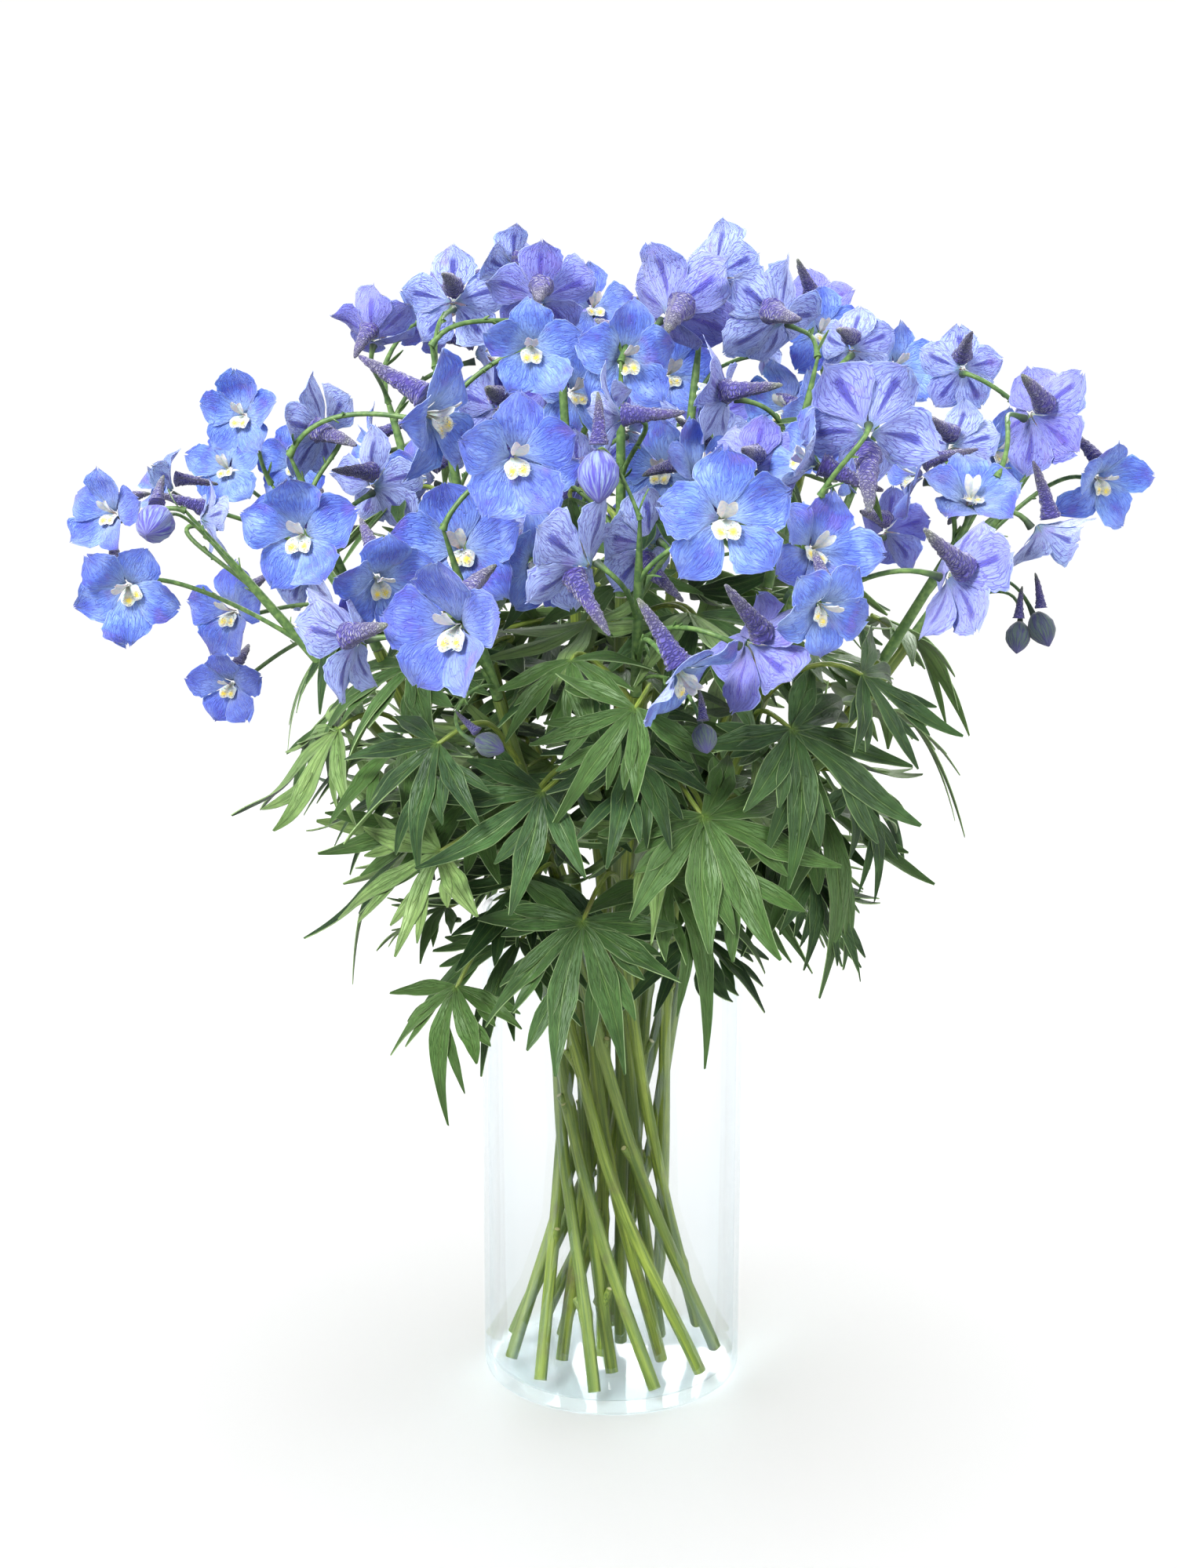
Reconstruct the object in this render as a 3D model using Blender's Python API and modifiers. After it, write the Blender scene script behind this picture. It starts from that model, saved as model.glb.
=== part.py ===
# A bunch of cut delphiniums standing in a clear glass cylinder vase.
# Metres, +Z up. The origin is the centre of the vase's underside, and -Y is the front.
import math
import random
from collections import namedtuple

import bmesh
import bpy
from mathutils import Vector
from mathutils.bvhtree import BVHTree

MM = 0.001

# Vase
VASE_RADIUS = 55 * MM
VASE_HEIGHT = 204 * MM
VASE_WALL = 2.2 * MM
VASE_FLOOR = 5 * MM
VASE_EDGE = 4 * MM
VASE_STEPS = 36

# Stems, from the cut foot to the top of the flowering part
STEM_FOOT_RADIUS = 2.7 * MM
STEM_NECK_RADIUS = 2.2 * MM
STEM_TIP_RADIUS = 1.5 * MM
GAP = 0.3 * MM
FOOT_HEIGHT = VASE_FLOOR + GAP
FOOT_LIFT = 1.2 * MM  # the outer stems lean, and stand on one edge of the cut
WAIST_HEIGHT = 91 * MM
RIM_HEIGHT = VASE_HEIGHT
SPREAD_HEIGHT = 292 * MM
FOOT_SPREAD = 45 * MM
WAIST_SPREAD = 22 * MM
RIM_SPREAD = 39 * MM
TWIST_BELOW = math.radians(58)
TWIST_ABOVE = math.radians(-56)
FLOWERING = 0.60  # share of the way from the rim to the tip where the flowering part starts

# Blooms
SEPALS = 5
BLOOM_STALK_RADIUS = 0.95 * MM
SPUR_LENGTH = 1.15  # times the bloom's radius
SPUR_RADIUS = 0.125
STALK_DROP = 26 * MM
STALK_ROOM = 8 * MM  # between two stalks on a stem
STALK_BENDS = (0.42, 1.0)  # where a stalk has its corners, from the bloom to the stem
LARGE_BLOOM = 45 * MM  # sepals of this size and over have rounder tips
SEPAL_RIB = 0.7 * MM  # half the thickness at the rib
# Corners of a sepal's edge: share of the radius, degrees aside from its rib, share of the radius ahead
ROUND_SEPAL = ((0.77, -32, 0.20), (0.96, -15, 0.17), (1.0, 0, 0.12), (0.96, 15, 0.17), (0.77, 32, 0.20))
PLAIN_SEPAL = ((0.84, -28, 0.20), (1.0, 0, 0.12), (0.84, 28, 0.20))

# Leaves
LEAF_RIB = 0.6 * MM
LEAF_STALK_RADIUS = 1.1 * MM
LEAF_STALK_BENDS = (0.45, 1.0)
LOWEST_LEAF_STALK = 216 * MM

# The photo's camera, which the layout is read through
PHOTO_CENTRE = (750.0, 999.5)
PHOTO_FOCAL = 2830.0
CAMERA_AT = Vector((-0.010, -0.906, 0.428))
CAMERA_PITCH = math.radians(10.75)

CLEARANCE = 0.5 * MM
TRIES = 60

# Colours, roughness and alpha
GLASS_COLOUR = (0.86, 0.90, 0.92)
GLASS_ROUGHNESS = 0.03
GLASS_ALPHA = 0.35
STEM_COLOUR = (0.16, 0.30, 0.10)
STEM_ROUGHNESS = 0.55
BLOOM_COLOUR = (0.30, 0.38, 0.85)
BLOOM_ROUGHNESS = 0.6

# The flowering tips in millimetres, each ring in the order of its feet round the vase
Ring = namedtuple("Ring", "share first_foot tips")
RINGS = (
    Ring(1.0, -165, (
        (25, 138, 398), (-78, 128, 392), (-150, 72, 378), (-172, -18, 372), (-122, -72, 396),
        (-62, -118, 372), (8, -126, 376), (72, -122, 384), (142, -78, 388), (176, 4, 394), (118, 98, 396),
    )),
    Ring(0.55, -150, (
        (-14, 76, 432), (-96, 24, 424), (-70, -48, 436), (2, -66, 430), (78, -42, 432), (92, 50, 424),
    )),
    Ring(0.18, -120, ((-22, 8, 446), (36, 14, 446))),
)

# Photo pixel of the middle, depth behind the vase axis in mm, turn to the right and tilt up from facing
# the camera, roll of the spur clockwise, all in degrees, and diameter in mm
Bloom = namedtuple("Bloom", "x y depth turn tilt roll size")
BLOOMS = (
    # left side
    Bloom(310, 530, 20, -15, 5, 0, 38),
    Bloom(145, 655, -20, -25, 10, 0, 38),
    Bloom(216, 622, 30, -60, 25, 0, 34),
    Bloom(163, 748, -40, 0, -15, -40, 44),
    Bloom(262, 662, 5, 110, 0, 0, 36),
    Bloom(290, 598, 90, -20, 10, 0, 38),
    Bloom(378, 592, 80, -10, 10, 0, 38),
    Bloom(412, 548, -50, -115, 10, 90, 44),
    Bloom(476, 430, 0, 165, 45, 0, 38),
    Bloom(548, 528, -75, 60, 0, -20, 52),
    Bloom(385, 682, -80, -10, 0, 0, 48),
    Bloom(482, 738, -112, 25, -22, 0, 42),
    Bloom(478, 618, -25, 150, 15, 0, 42),
    Bloom(452, 815, -125, -125, -5, 80, 46),
    Bloom(298, 780, 40, -30, 0, 0, 44),
    Bloom(295, 872, 55, -20, -12, 0, 38),
    # middle
    Bloom(578, 385, 10, 178, 5, 0, 44),
    Bloom(612, 452, 35, 90, 10, 0, 40),
    Bloom(642, 362, 65, 95, 20, 0, 36),
    Bloom(676, 442, -62, 5, -12, 0, 40),
    Bloom(690, 380, -20, 180, 32, 0, 46),
    Bloom(756, 392, 45, 10, 15, 0, 38),
    Bloom(795, 455, -60, 22, -5, 0, 44),
    Bloom(790, 532, -85, -105, 0, 90, 40),
    Bloom(855, 398, -20, 150, 28, -60, 56),
    Bloom(925, 505, -58, -112, 5, 70, 44),
    Bloom(655, 583, -122, 14, -3, 0, 48),
    Bloom(588, 700, -108, -5, 10, 0, 52),
    Bloom(680, 715, -78, 35, 0, 0, 42),
    Bloom(582, 798, -155, -22, -4, 0, 54),
    Bloom(745, 718, -138, -132, 18, 130, 48),
    Bloom(828, 695, -108, -145, 30, 150, 44),
    Bloom(866, 858, -150, 62, -48, -50, 46),
    Bloom(958, 822, -142, 128, -32, -40, 48),
    Bloom(922, 662, -142, 6, 4, 0, 50),
    Bloom(962, 598, -98, 168, 10, 0, 40),
    # right side
    Bloom(992, 405, -20, -150, 22, 60, 50),
    Bloom(1036, 388, 42, 150, -28, 0, 36),
    Bloom(1046, 424, 15, 10, 8, 0, 38),
    Bloom(1086, 445, -25, 162, 8, 0, 36),
    Bloom(1142, 466, 50, 22, 5, 0, 38),
    Bloom(1106, 548, -118, 176, 22, 180, 54),
    Bloom(1034, 590, -98, -80, 18, 90, 42),
    Bloom(1226, 470, 5, 178, -5, 0, 38),
    Bloom(1318, 530, -30, 132, -16, -45, 48),
    Bloom(1400, 610, -10, 26, -20, 0, 40),
    Bloom(1326, 675, -42, 95, -55, 0, 42),
    Bloom(1236, 640, -82, 5, 48, 0, 42),
    Bloom(1214, 735, -120, 122, -20, -60, 50),
    Bloom(1170, 606, -68, -85, 5, 0, 38),
    Bloom(1214, 570, -48, 142, 0, 0, 38),
    Bloom(1268, 575, 12, 30, 0, 0, 38),
    Bloom(1036, 700, -118, 16, 10, 30, 44),
    Bloom(1046, 772, -132, 30, -42, 30, 38),
)

# Photo pixel, depth, turn, tilt, roll and diameter, as for the blooms
BUDS = (
    Bloom(200, 665, -45, -10, -20, -30, 15),
    Bloom(763, 600, -128, 0, -60, 0, 15),
    Bloom(620, 948, -140, 60, -15, 0, 9),
    Bloom(897, 938, -145, 10, -45, 0, 9),
    Bloom(1326, 797, -45, 40, -60, 0, 11),
    Bloom(1298, 808, -40, -20, -60, 0, 10),
)

# Rows of blooms where the photo doesn't reach: height and distance from the axis in mm, the turns
# round from +X where the row starts and ends, how many, and their diameter
Row = namedtuple("Row", "height reach first last count size")
HIDDEN_ROWS = (
    Row(346, 166, 30, 150, 5, 44),
    Row(394, 134, 25, 155, 5, 42),
    Row(440, 84, 10, 170, 3, 42),
    Row(452, 36, -40, 220, 2, 40),
    Row(398, 74, -150, 150, 5, 40),
)

# Photo pixel of the leaf's hub, depth in mm, way the middle lobe points in the photo (degrees
# clockwise from down), droop, lobes and length in mm
Leaf = namedtuple("Leaf", "x y depth swing droop lobes length")
LEAVES = (
    Leaf(742, 1176, -112, 20, 0.35, 7, 58),
    Leaf(581, 1259, -86, 0, 0.40, 5, 44),
    Leaf(897, 1042, -128, -35, 0.35, 7, 62),
    Leaf(809, 903, -135, 40, 0.30, 5, 46),
    Leaf(690, 1010, -128, 62, 0.30, 5, 52),
    Leaf(557, 948, -118, 70, 0.35, 5, 50),
    Leaf(560, 1085, -110, 90, 0.20, 5, 50),
    Leaf(430, 930, -70, 95, 0.30, 5, 58),
    Leaf(1010, 930, -112, -60, 0.30, 7, 60),
    Leaf(1090, 1010, -70, -85, 0.25, 5, 48),
    Leaf(1100, 860, -95, -110, 0.30, 5, 46),
    Leaf(1010, 1120, -80, -50, 0.35, 5, 46),
    Leaf(735, 640, -66, -114, 0.05, 3, 48),
)

# Tiers of leaves all round: height, distance of the hub, how many, lobes and length
Tier = namedtuple("Tier", "height reach count lobes length")
TIERS = (
    Tier(206, 66, 6, 5, 50),
    Tier(232, 80, 8, 5, 56),
    Tier(260, 93, 9, 5, 58),
    Tier(290, 103, 9, 5, 56),
    Tier(319, 106, 8, 5, 50),
    Tier(342, 84, 7, 3, 44),
)
LOBE_TURNS = {3: (-38, 0, 38), 5: (-84, -42, 0, 42, 84), 7: (-114, -76, -38, 0, 38, 76, 114)}
BASE_TURN = 105  # a leaf's base reaches at least this far round the hub


def from_photo(x, y, depth):
    """The point seen at a photo pixel, on the upright plane that lies depth behind the vase axis."""
    across = (x - PHOTO_CENTRE[0]) / PHOTO_FOCAL
    above = (PHOTO_CENTRE[1] - y) / PHOTO_FOCAL
    ray = Vector((
        across,
        math.cos(CAMERA_PITCH) + above * math.sin(CAMERA_PITCH),
        above * math.cos(CAMERA_PITCH) - math.sin(CAMERA_PITCH),
    ))
    return CAMERA_AT + ray * ((depth - CAMERA_AT.y) / ray.y)


def axes(turn, tilt, roll):
    """A bloom's right, up and forward. Turn 0 faces the front, turn 90 faces +X."""
    turn, tilt, roll = (math.radians(angle) for angle in (turn, tilt, roll))
    forward = Vector((
        math.sin(turn) * math.cos(tilt),
        -math.cos(turn) * math.cos(tilt),
        math.sin(tilt),
    ))
    level = Vector((math.cos(turn), math.sin(turn), 0))
    upright = forward.cross(level)
    right = level * math.cos(roll) - upright * math.sin(roll)
    up = upright * math.cos(roll) + level * math.sin(roll)
    return right, up, forward


def polar(radius, degrees, height=0.0):
    angle = math.radians(degrees)
    return Vector((radius * math.cos(angle), radius * math.sin(angle), height))


def smooth_path(knots, steps):
    """A Catmull-Rom curve through the knots, with steps points to each stretch."""
    ends = [knots[0] * 2 - knots[1], *knots, knots[-1] * 2 - knots[-2]]
    path = []
    for a, b, c, d in zip(ends, ends[1:], ends[2:], ends[3:]):
        for step in range(steps):
            t = step / steps
            path.append(
                (b * 2 + (c - a) * t + (a * 2 - b * 5 + c * 4 - d) * t * t
                 + (b * 3 - a - c * 3 + d) * t ** 3) / 2
            )
    return path + [knots[-1]]


def bezier(a, b, c, d, t):
    s = 1 - t
    return a * s ** 3 + b * (3 * s * s * t) + c * (3 * s * t * t) + d * t ** 3


# Stem routes


def stem_knots(share, foot_angle, tip):
    """Foot, waist, rim, a point in the spread and the tip. All feet turn alike about the axis, so none cross."""
    knots = []
    for spread, height, twist in (
        (FOOT_SPREAD, FOOT_HEIGHT + share * FOOT_LIFT, 0.0),
        (WAIST_SPREAD, WAIST_HEIGHT, -TWIST_BELOW),
        (RIM_SPREAD, RIM_HEIGHT, TWIST_ABOVE - TWIST_BELOW),
    ):
        knots.append(polar(share * spread, foot_angle + math.degrees(twist), height))
    tip = Vector(tip) * MM
    rim = knots[-1]
    middle = (rim * 1.35).lerp(tip, 0.45)
    middle.z = SPREAD_HEIGHT
    return [*knots, middle, tip]


def stem_routes():
    routes = []
    for ring in RINGS:
        for place, tip in enumerate(ring.tips):
            foot_angle = ring.first_foot + place * 360 / len(ring.tips)
            routes.append(smooth_path(stem_knots(ring.share, foot_angle, tip), 12))
    return routes


def at_height(route, height):
    """The point of a route at a height, and the way that the route runs there."""
    for low, high in zip(route, route[1:]):
        if high.z >= height:
            share = (height - low.z) / (high.z - low.z)
            return low.lerp(high, share), (high - low).normalized()
    return route[-1], (route[-1] - route[-2]).normalized()


def flowering_height(route):
    return RIM_HEIGHT + (route[-1].z - RIM_HEIGHT) * FLOWERING


def stem_radius(route, height):
    """The stem tapers from foot to neck, and from neck to tip."""
    neck = flowering_height(route)
    if height < neck:
        share = height / neck
        return STEM_FOOT_RADIUS + (STEM_NECK_RADIUS - STEM_FOOT_RADIUS) * share
    share = (height - neck) / (route[-1].z - neck)
    return STEM_NECK_RADIUS + (STEM_TIP_RADIUS - STEM_NECK_RADIUS) * share


def tube_mesh(name, points, radii, resolution):
    """A closed round mesh along points, from a curve with a bevel and filled caps."""
    curve = bpy.data.curves.new(name, "CURVE")
    curve.dimensions = "3D"
    curve.bevel_depth = 1.0
    curve.bevel_resolution = resolution
    curve.use_fill_caps = True
    spline = curve.splines.new("POLY")
    spline.points.add(len(points) - 1)
    for knot, point, radius in zip(spline.points, points, radii):
        knot.co = (*point, 1)
        knot.radius = radius
    guide = bpy.data.objects.new(name, curve)
    bpy.context.scene.collection.objects.link(guide)
    graph = bpy.context.evaluated_depsgraph_get()
    mesh = bpy.data.meshes.new_from_object(guide.evaluated_get(graph))
    bpy.data.objects.remove(guide)
    bpy.data.curves.remove(curve)
    work = bmesh.new()
    work.from_mesh(mesh)
    bmesh.ops.remove_doubles(work, verts=work.verts, dist=0.01 * MM)
    bmesh.ops.triangulate(work, faces=work.faces)
    work.to_mesh(mesh)
    work.free()
    return mesh


# Closed skins of blooms, buds and leaves


class Skin:
    """Points and faces of one piece, in world space."""

    def __init__(self):
        self.points = []
        self.faces = []

    def point(self, place):
        self.points.append(place)
        return len(self.points) - 1

    def fan(self, middle, loop, flip=False):
        for a, b in zip(loop, loop[1:] + loop[:1]):
            self.faces.append((middle, b, a) if flip else (middle, a, b))

    def band(self, ring, onward):
        for place, corner in enumerate(ring):
            after = (place + 1) % len(ring)
            self.faces.append((corner, onward[place], onward[after]))
            self.faces.append((corner, onward[after], ring[after]))

    def tube(self, ring, path, radii, angles, side, pointed):
        """Carries an open ring on along path, to a point or to a flat end."""
        for place, (centre, radius) in enumerate(zip(path, radii)):
            before = path[place - 1] if place else sum((self.points[i] for i in ring), Vector()) / len(ring)
            after = path[place + 1] if place + 1 < len(path) else centre
            way = (after - before).normalized()
            if pointed and place + 1 == len(path):
                tip = self.point(centre)
                self.faces += [(a, tip, b) for a, b in zip(ring, ring[1:] + ring[:1])]
                return
            side = (side - way * side.dot(way)).normalized()
            up = side.cross(way)
            onward = []
            for angle in angles:
                spoke = polar(radius, angle)
                onward.append(self.point(centre + side * spoke.x + up * spoke.y))
            self.band(ring, onward)
            ring = onward
        for a, b in zip(ring[1:], ring[2:]):
            self.faces.append((ring[0], b, a))

    def swollen(self, by):
        """The points moved out along their normals."""
        normals = [Vector() for _ in self.points]
        for a, b, c in self.faces:
            normal = (self.points[b] - self.points[a]).cross(self.points[c] - self.points[a])
            for corner in (a, b, c):
                normals[corner] += normal
        return [point + normal.normalized() * by for point, normal in zip(self.points, normals)]

    def mesh(self, name):
        mesh = bpy.data.meshes.new(name)
        mesh.from_pydata(self.points, [], self.faces)
        return mesh


def stalk_path(anchor, grows, back, forward, bends):
    """From the back of a bloom or leaf to the middle of the stem, as the ends of straight stretches of a bend."""
    reach = (back - anchor).length
    leave = anchor + (grows + (back - anchor).normalized()).normalized() * reach * 0.4
    arrive = back - forward * reach * 0.42
    return [bezier(back, arrive, leave, anchor, t) for t in bends]


def add_back(skin, ring, middle, frame, size, anchor, grows):
    """The spur and the stalk, grown out of the ring of five points behind a bloom or bud."""
    right, up, forward = frame
    spur_ring = [ring[4], ring[0], ring[1], ring[3]]
    reach = size / 2 * SPUR_LENGTH
    spur = [
        middle - forward * reach * 0.50 + up * reach * 0.34,
        middle - forward * reach * 1.00 + up * reach * 0.50,
    ]
    skin.tube(spur_ring, spur, [size * SPUR_RADIUS * 0.62, 0], (35, 145, 215, 325), right, True)
    path = stalk_path(anchor, grows, middle - up * size * 0.06, forward, STALK_BENDS)
    skin.tube(ring[1:4], path, [BLOOM_STALK_RADIUS] * len(path), (150, 270, 30), right, False)


def bloom_skin(middle, frame, size, anchor, grows):
    """Five ribbed sepals, the raised eye in front, and the spur and stalk behind."""
    right, up, forward = frame
    radius = size / 2
    skin = Skin()

    def add(share, angle, ahead):
        spoke = polar(share * radius, angle)
        return skin.point(middle + right * spoke.x + up * spoke.y + forward * ahead * radius)

    valley_turns = [126 + 72 * place for place in range(SEPALS)]
    valleys = [add(0.44, turn, 0.10) for turn in valley_turns]
    eye_ring = [add(0.17, turn, 0.06) for turn in valley_turns]
    back_ring = [add(0.13, turn, -0.13) for turn in valley_turns]
    eye = add(0, 0, 0.26)
    corners = ROUND_SEPAL if size >= LARGE_BLOOM else PLAIN_SEPAL
    for place in range(SEPALS):
        turn = 90 + 72 * place
        edge = [add(share, turn + aside, ahead) for share, aside, ahead in corners]
        front_rib = add(0.60, turn, 0.12)
        back_rib = skin.point(skin.points[front_rib] - forward * 2 * SEPAL_RIB)
        outline = [valleys[place - 1], *edge, valleys[place]]
        skin.fan(front_rib, [*outline, eye_ring[place], eye_ring[place - 1]])
        skin.fan(back_rib, [*outline, back_ring[place], back_ring[place - 1]], flip=True)
    skin.fan(eye, eye_ring)
    add_back(skin, back_ring, middle - forward * 0.13 * radius, frame, size, anchor, grows)
    return skin


def bud_skin(middle, frame, size, anchor, grows):
    """A closed bud: a pointed egg with its spur and stalk."""
    right, up, forward = frame
    skin = Skin()

    def add(share, angle, ahead):
        spoke = polar(share * size, angle)
        return skin.point(middle + right * spoke.x + up * spoke.y + forward * ahead * size)

    turns = [126 + 72 * place for place in range(SEPALS)]
    waist = [add(0.50, turn, 0.10) for turn in turns]
    back = [add(0.26, turn, -0.45) for turn in turns]
    skin.fan(add(0, 0, 0.85), waist)
    skin.band(waist, back)
    add_back(skin, back, middle - forward * 0.45 * size, frame, size * 2, anchor, grows)
    return skin


def leaf_skin(hub, main, normal, lobes, length, droop, anchor, grows):
    """A palmate leaf of narrow lobes cut almost to the hub, with its stalk."""
    side = normal.cross(main).normalized()
    main = side.cross(normal).normalized()
    skin = Skin()

    def add(reach, aside, turn, lift=0.0):
        """A point reach along a lobe and aside from its rib, sunk by the droop."""
        angle = math.radians(turn)
        along = main * math.cos(angle) + side * math.sin(angle)
        across = side * math.cos(angle) - main * math.sin(angle)
        sunk = droop * (reach / length) ** 2 * length
        return skin.point(hub + along * reach + across * aside + normal * (lift - sunk))

    turns = LOBE_TURNS[lobes]
    step = turns[1] - turns[0]
    base_turn = max(turns[-1] + step / 2, BASE_TURN)
    valley_turns = [-base_turn, *(turn + step / 2 for turn in turns[:-1]), base_turn]
    valleys = [add(length * 0.15, 0, turn) for turn in valley_turns]
    top = skin.point(hub + normal * LEAF_RIB)
    under = skin.point(hub - normal * LEAF_RIB)
    for place, turn in enumerate(turns):
        reach = length * (1 - 0.0034 * abs(turn))
        ribs = [add(reach * 0.5, 0, turn, lift) for lift in (LEAF_RIB, -LEAF_RIB)]
        outline = [
            valleys[place],
            add(reach * 0.52, -length * 0.105, turn),
            add(reach, 0, turn),
            add(reach * 0.52, length * 0.105, turn),
            valleys[place + 1],
        ]
        skin.fan(ribs[0], [*outline, top])
        skin.fan(ribs[1], [*outline, under], flip=True)
    skin.faces.append((top, valleys[-1], valleys[0]))
    path = stalk_path(anchor, grows, hub - main * length * 0.08, main, LEAF_STALK_BENDS)
    skin.tube([valleys[-1], valleys[0], under], path, [LEAF_STALK_RADIUS] * len(path), (30, 150, 270), side, False)
    return skin


# Placing, each piece clear of what the other stems carry


Piece = namedtuple("Piece", "node is_stem tree middle reach")


def make_piece(node, points, faces, is_stem=False):
    """What a later piece has to stay clear of. The stem of its own node is what it may enter."""
    middle = sum(points, Vector()) / len(points)
    reach = max((point - middle).length for point in points)
    return Piece(node, is_stem, BVHTree.FromPolygons(points, faces), middle, reach)


def is_clear(node, skin, placed, of_its_own):
    """Whether a swollen copy of the skin meets nothing. of_its_own counts its own node's other repeats too."""
    probe = make_piece(node, skin.swollen(CLEARANCE), skin.faces)
    for other in placed:
        if other.node == node and (other.is_stem or not of_its_own):
            continue
        near = (other.middle - probe.middle).length < other.reach + probe.reach
        if near and probe.tree.overlap(other.tree):
            return False
    return True


def crosses_itself(skin):
    """Whether two faces that share no corner meet, as where a stalk runs through its own leaf."""
    tree = BVHTree.FromPolygons(skin.points, skin.faces)
    return any(not set(skin.faces[a]) & set(skin.faces[b]) for a, b in tree.overlap(tree))


def wander(name, attempt, most):
    """A seeded share from -1 to 1 for each of four changes. The first attempt changes nothing, and later ones more."""
    draw = random.Random(f"{name}-{attempt}")
    scale = most * attempt / TRIES
    return [draw.uniform(-scale, scale) for _ in range(4)]


def place_first_clear(name, node, tries, placed):
    """Keeps the first try that meets nothing, or else the first that meets only repeats of its own node.

    A try whose stalk runs through its own leaf or bloom comes after all the others."""
    tries = list(tries)
    neat = [skin for skin in tries if not crosses_itself(skin)]
    for some, of_its_own in ((neat, True), (neat, False), (tries, True), (tries, False)):
        for skin in some:
            if is_clear(node, skin, placed, of_its_own):
                placed.append(make_piece(node, skin.points, skin.faces))
                return [skin]
    print("no clear place for", name)
    return []


def flower_tries(name, row, build, route, attach):
    for attempt in range(TRIES):
        deeper, turn, tilt, roll = wander(name, attempt, 1.0)
        middle = from_photo(row.x, row.y, (row.depth + deeper * 34) * MM)
        frame = axes(row.turn + turn * 24, row.tilt + tilt * 24, row.roll + roll * 24)
        yield build(middle, frame, row.size * MM, *at_height(route, attach))


def to_photo(point):
    """The photo pixel that shows a point, so that rule-placed blooms join the photo's rows."""
    way = point - CAMERA_AT
    ahead = way.y * math.cos(CAMERA_PITCH) - way.z * math.sin(CAMERA_PITCH)
    above = way.y * math.sin(CAMERA_PITCH) + way.z * math.cos(CAMERA_PITCH)
    return (
        PHOTO_CENTRE[0] + PHOTO_FOCAL * way.x / ahead,
        PHOTO_CENTRE[1] - PHOTO_FOCAL * above / ahead,
    )


def hidden_blooms():
    """Blooms round the back and deep in the bunch, each facing more or less out."""
    rows = []
    for number, row in enumerate(HIDDEN_ROWS):
        for place in range(row.count):
            draw = random.Random(f"hidden-{number}-{place}")
            angle = row.first + (row.last - row.first) * (place + 0.5) / row.count + draw.uniform(-6, 6)
            point = polar(row.reach + draw.uniform(-10, 10), angle, row.height + draw.uniform(-12, 12)) * MM
            turn = angle + 90 + draw.uniform(-50, 50)
            size = row.size + draw.uniform(-5, 5)
            rows.append(Bloom(*to_photo(point), point.y / MM, turn, draw.uniform(-25, 30), 0, size))
    return rows


def nearest_stem(point, forward, routes):
    """The stem whose flowering part comes nearest to the place behind and below a bloom."""
    wanted = point - forward * 22 * MM - Vector((0, 0, STALK_DROP))
    best = None
    for number, route in enumerate(routes):
        start = flowering_height(route)
        for knot in route:
            if knot.z >= start:
                away = (knot - wanted).length
                if best is None or away < best[0]:
                    best = (away, number)
    return best[1]


def attach_flowers(rows, routes):
    """Which stem carries each flower, and the height where its stalk leaves it, the highest one at the tip."""
    points = [from_photo(row.x, row.y, row.depth * MM) for row in rows]
    owners = [
        nearest_stem(point, axes(row.turn, row.tilt, row.roll)[2], routes)
        for row, point in zip(rows, points)
    ]
    heights = [0.0] * len(rows)
    for owner, route in enumerate(routes):
        low = flowering_height(route) + STALK_ROOM / 2
        own = sorted((i for i, stem in enumerate(owners) if stem == owner), key=lambda i: -points[i].z)
        limit = route[-1].z - 2 * MM
        room = min(STALK_ROOM, (limit - low) / max(len(own) - 1, 1))
        for place, flower in enumerate(own):
            lowest = low + room * (len(own) - 1 - place)
            wanted = limit if place == 0 else points[flower].z - STALK_DROP
            heights[flower] = min(max(wanted, lowest), limit)
            limit = heights[flower] - room
    return owners, heights


def leaf_rows():
    """The photo's leaves, then tiers all round, each with its hub, middle lobe and face."""
    rows = []
    for leaf in LEAVES:
        hub = from_photo(leaf.x, leaf.y, leaf.depth * MM)
        swing = math.radians(leaf.swing)
        out = Vector((hub.x, hub.y, 0)).normalized()
        main = Vector((-math.sin(swing), 0, -math.cos(swing))) * 0.8 + out * 0.6
        normal = out * 0.75 + Vector((0, 0, 0.65))
        rows.append((hub, main, normal, leaf.lobes, leaf.length, leaf.droop))
    for number, tier in enumerate(TIERS):
        for place in range(tier.count):
            draw = random.Random(f"tier-{number}-{place}")
            angle = 360 * (place + 0.5 * (number % 2)) / tier.count + draw.uniform(-8, 8)
            hub = polar(tier.reach + draw.uniform(-6, 6), angle, tier.height + draw.uniform(-7, 7)) * MM
            out = polar(1, angle)
            level = out.cross(Vector((0, 0, 1)))
            main = out + Vector((0, 0, draw.uniform(-0.7, 0.25))) + level * draw.uniform(-0.5, 0.5)
            normal = Vector((0, 0, 1)) + out * draw.uniform(0.1, 0.7) + level * draw.uniform(-0.35, 0.35)
            length = tier.length + draw.uniform(-8, 8)
            rows.append((hub, main, normal, tier.lobes, length, draw.uniform(0.15, 0.5)))
    return rows


def leaf_tries(name, row, route):
    hub, main, normal, lobes, length, droop = row
    away = (hub - at_height(route, hub.z)[0]).length
    neck = flowering_height(route) - 6 * MM
    attach = min(max(hub.z - away * 0.35, LOWEST_LEAF_STALK), neck)
    level = main.cross(Vector((0, 0, 1))).normalized()
    for attempt in range(TRIES):
        aside, out, turn, tilt = wander(name, attempt, 1.0)
        moved = hub + level * aside * 16 * MM + Vector((hub.x, hub.y, 0)).normalized() * out * 14 * MM
        toward = main.normalized() + Vector((0, 0, tilt * 0.5)) + level * turn * 0.5
        size = length * (1 - 0.25 * attempt / TRIES) * MM
        yield leaf_skin(moved, toward, normal, lobes, size, droop, *at_height(route, attach))


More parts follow.
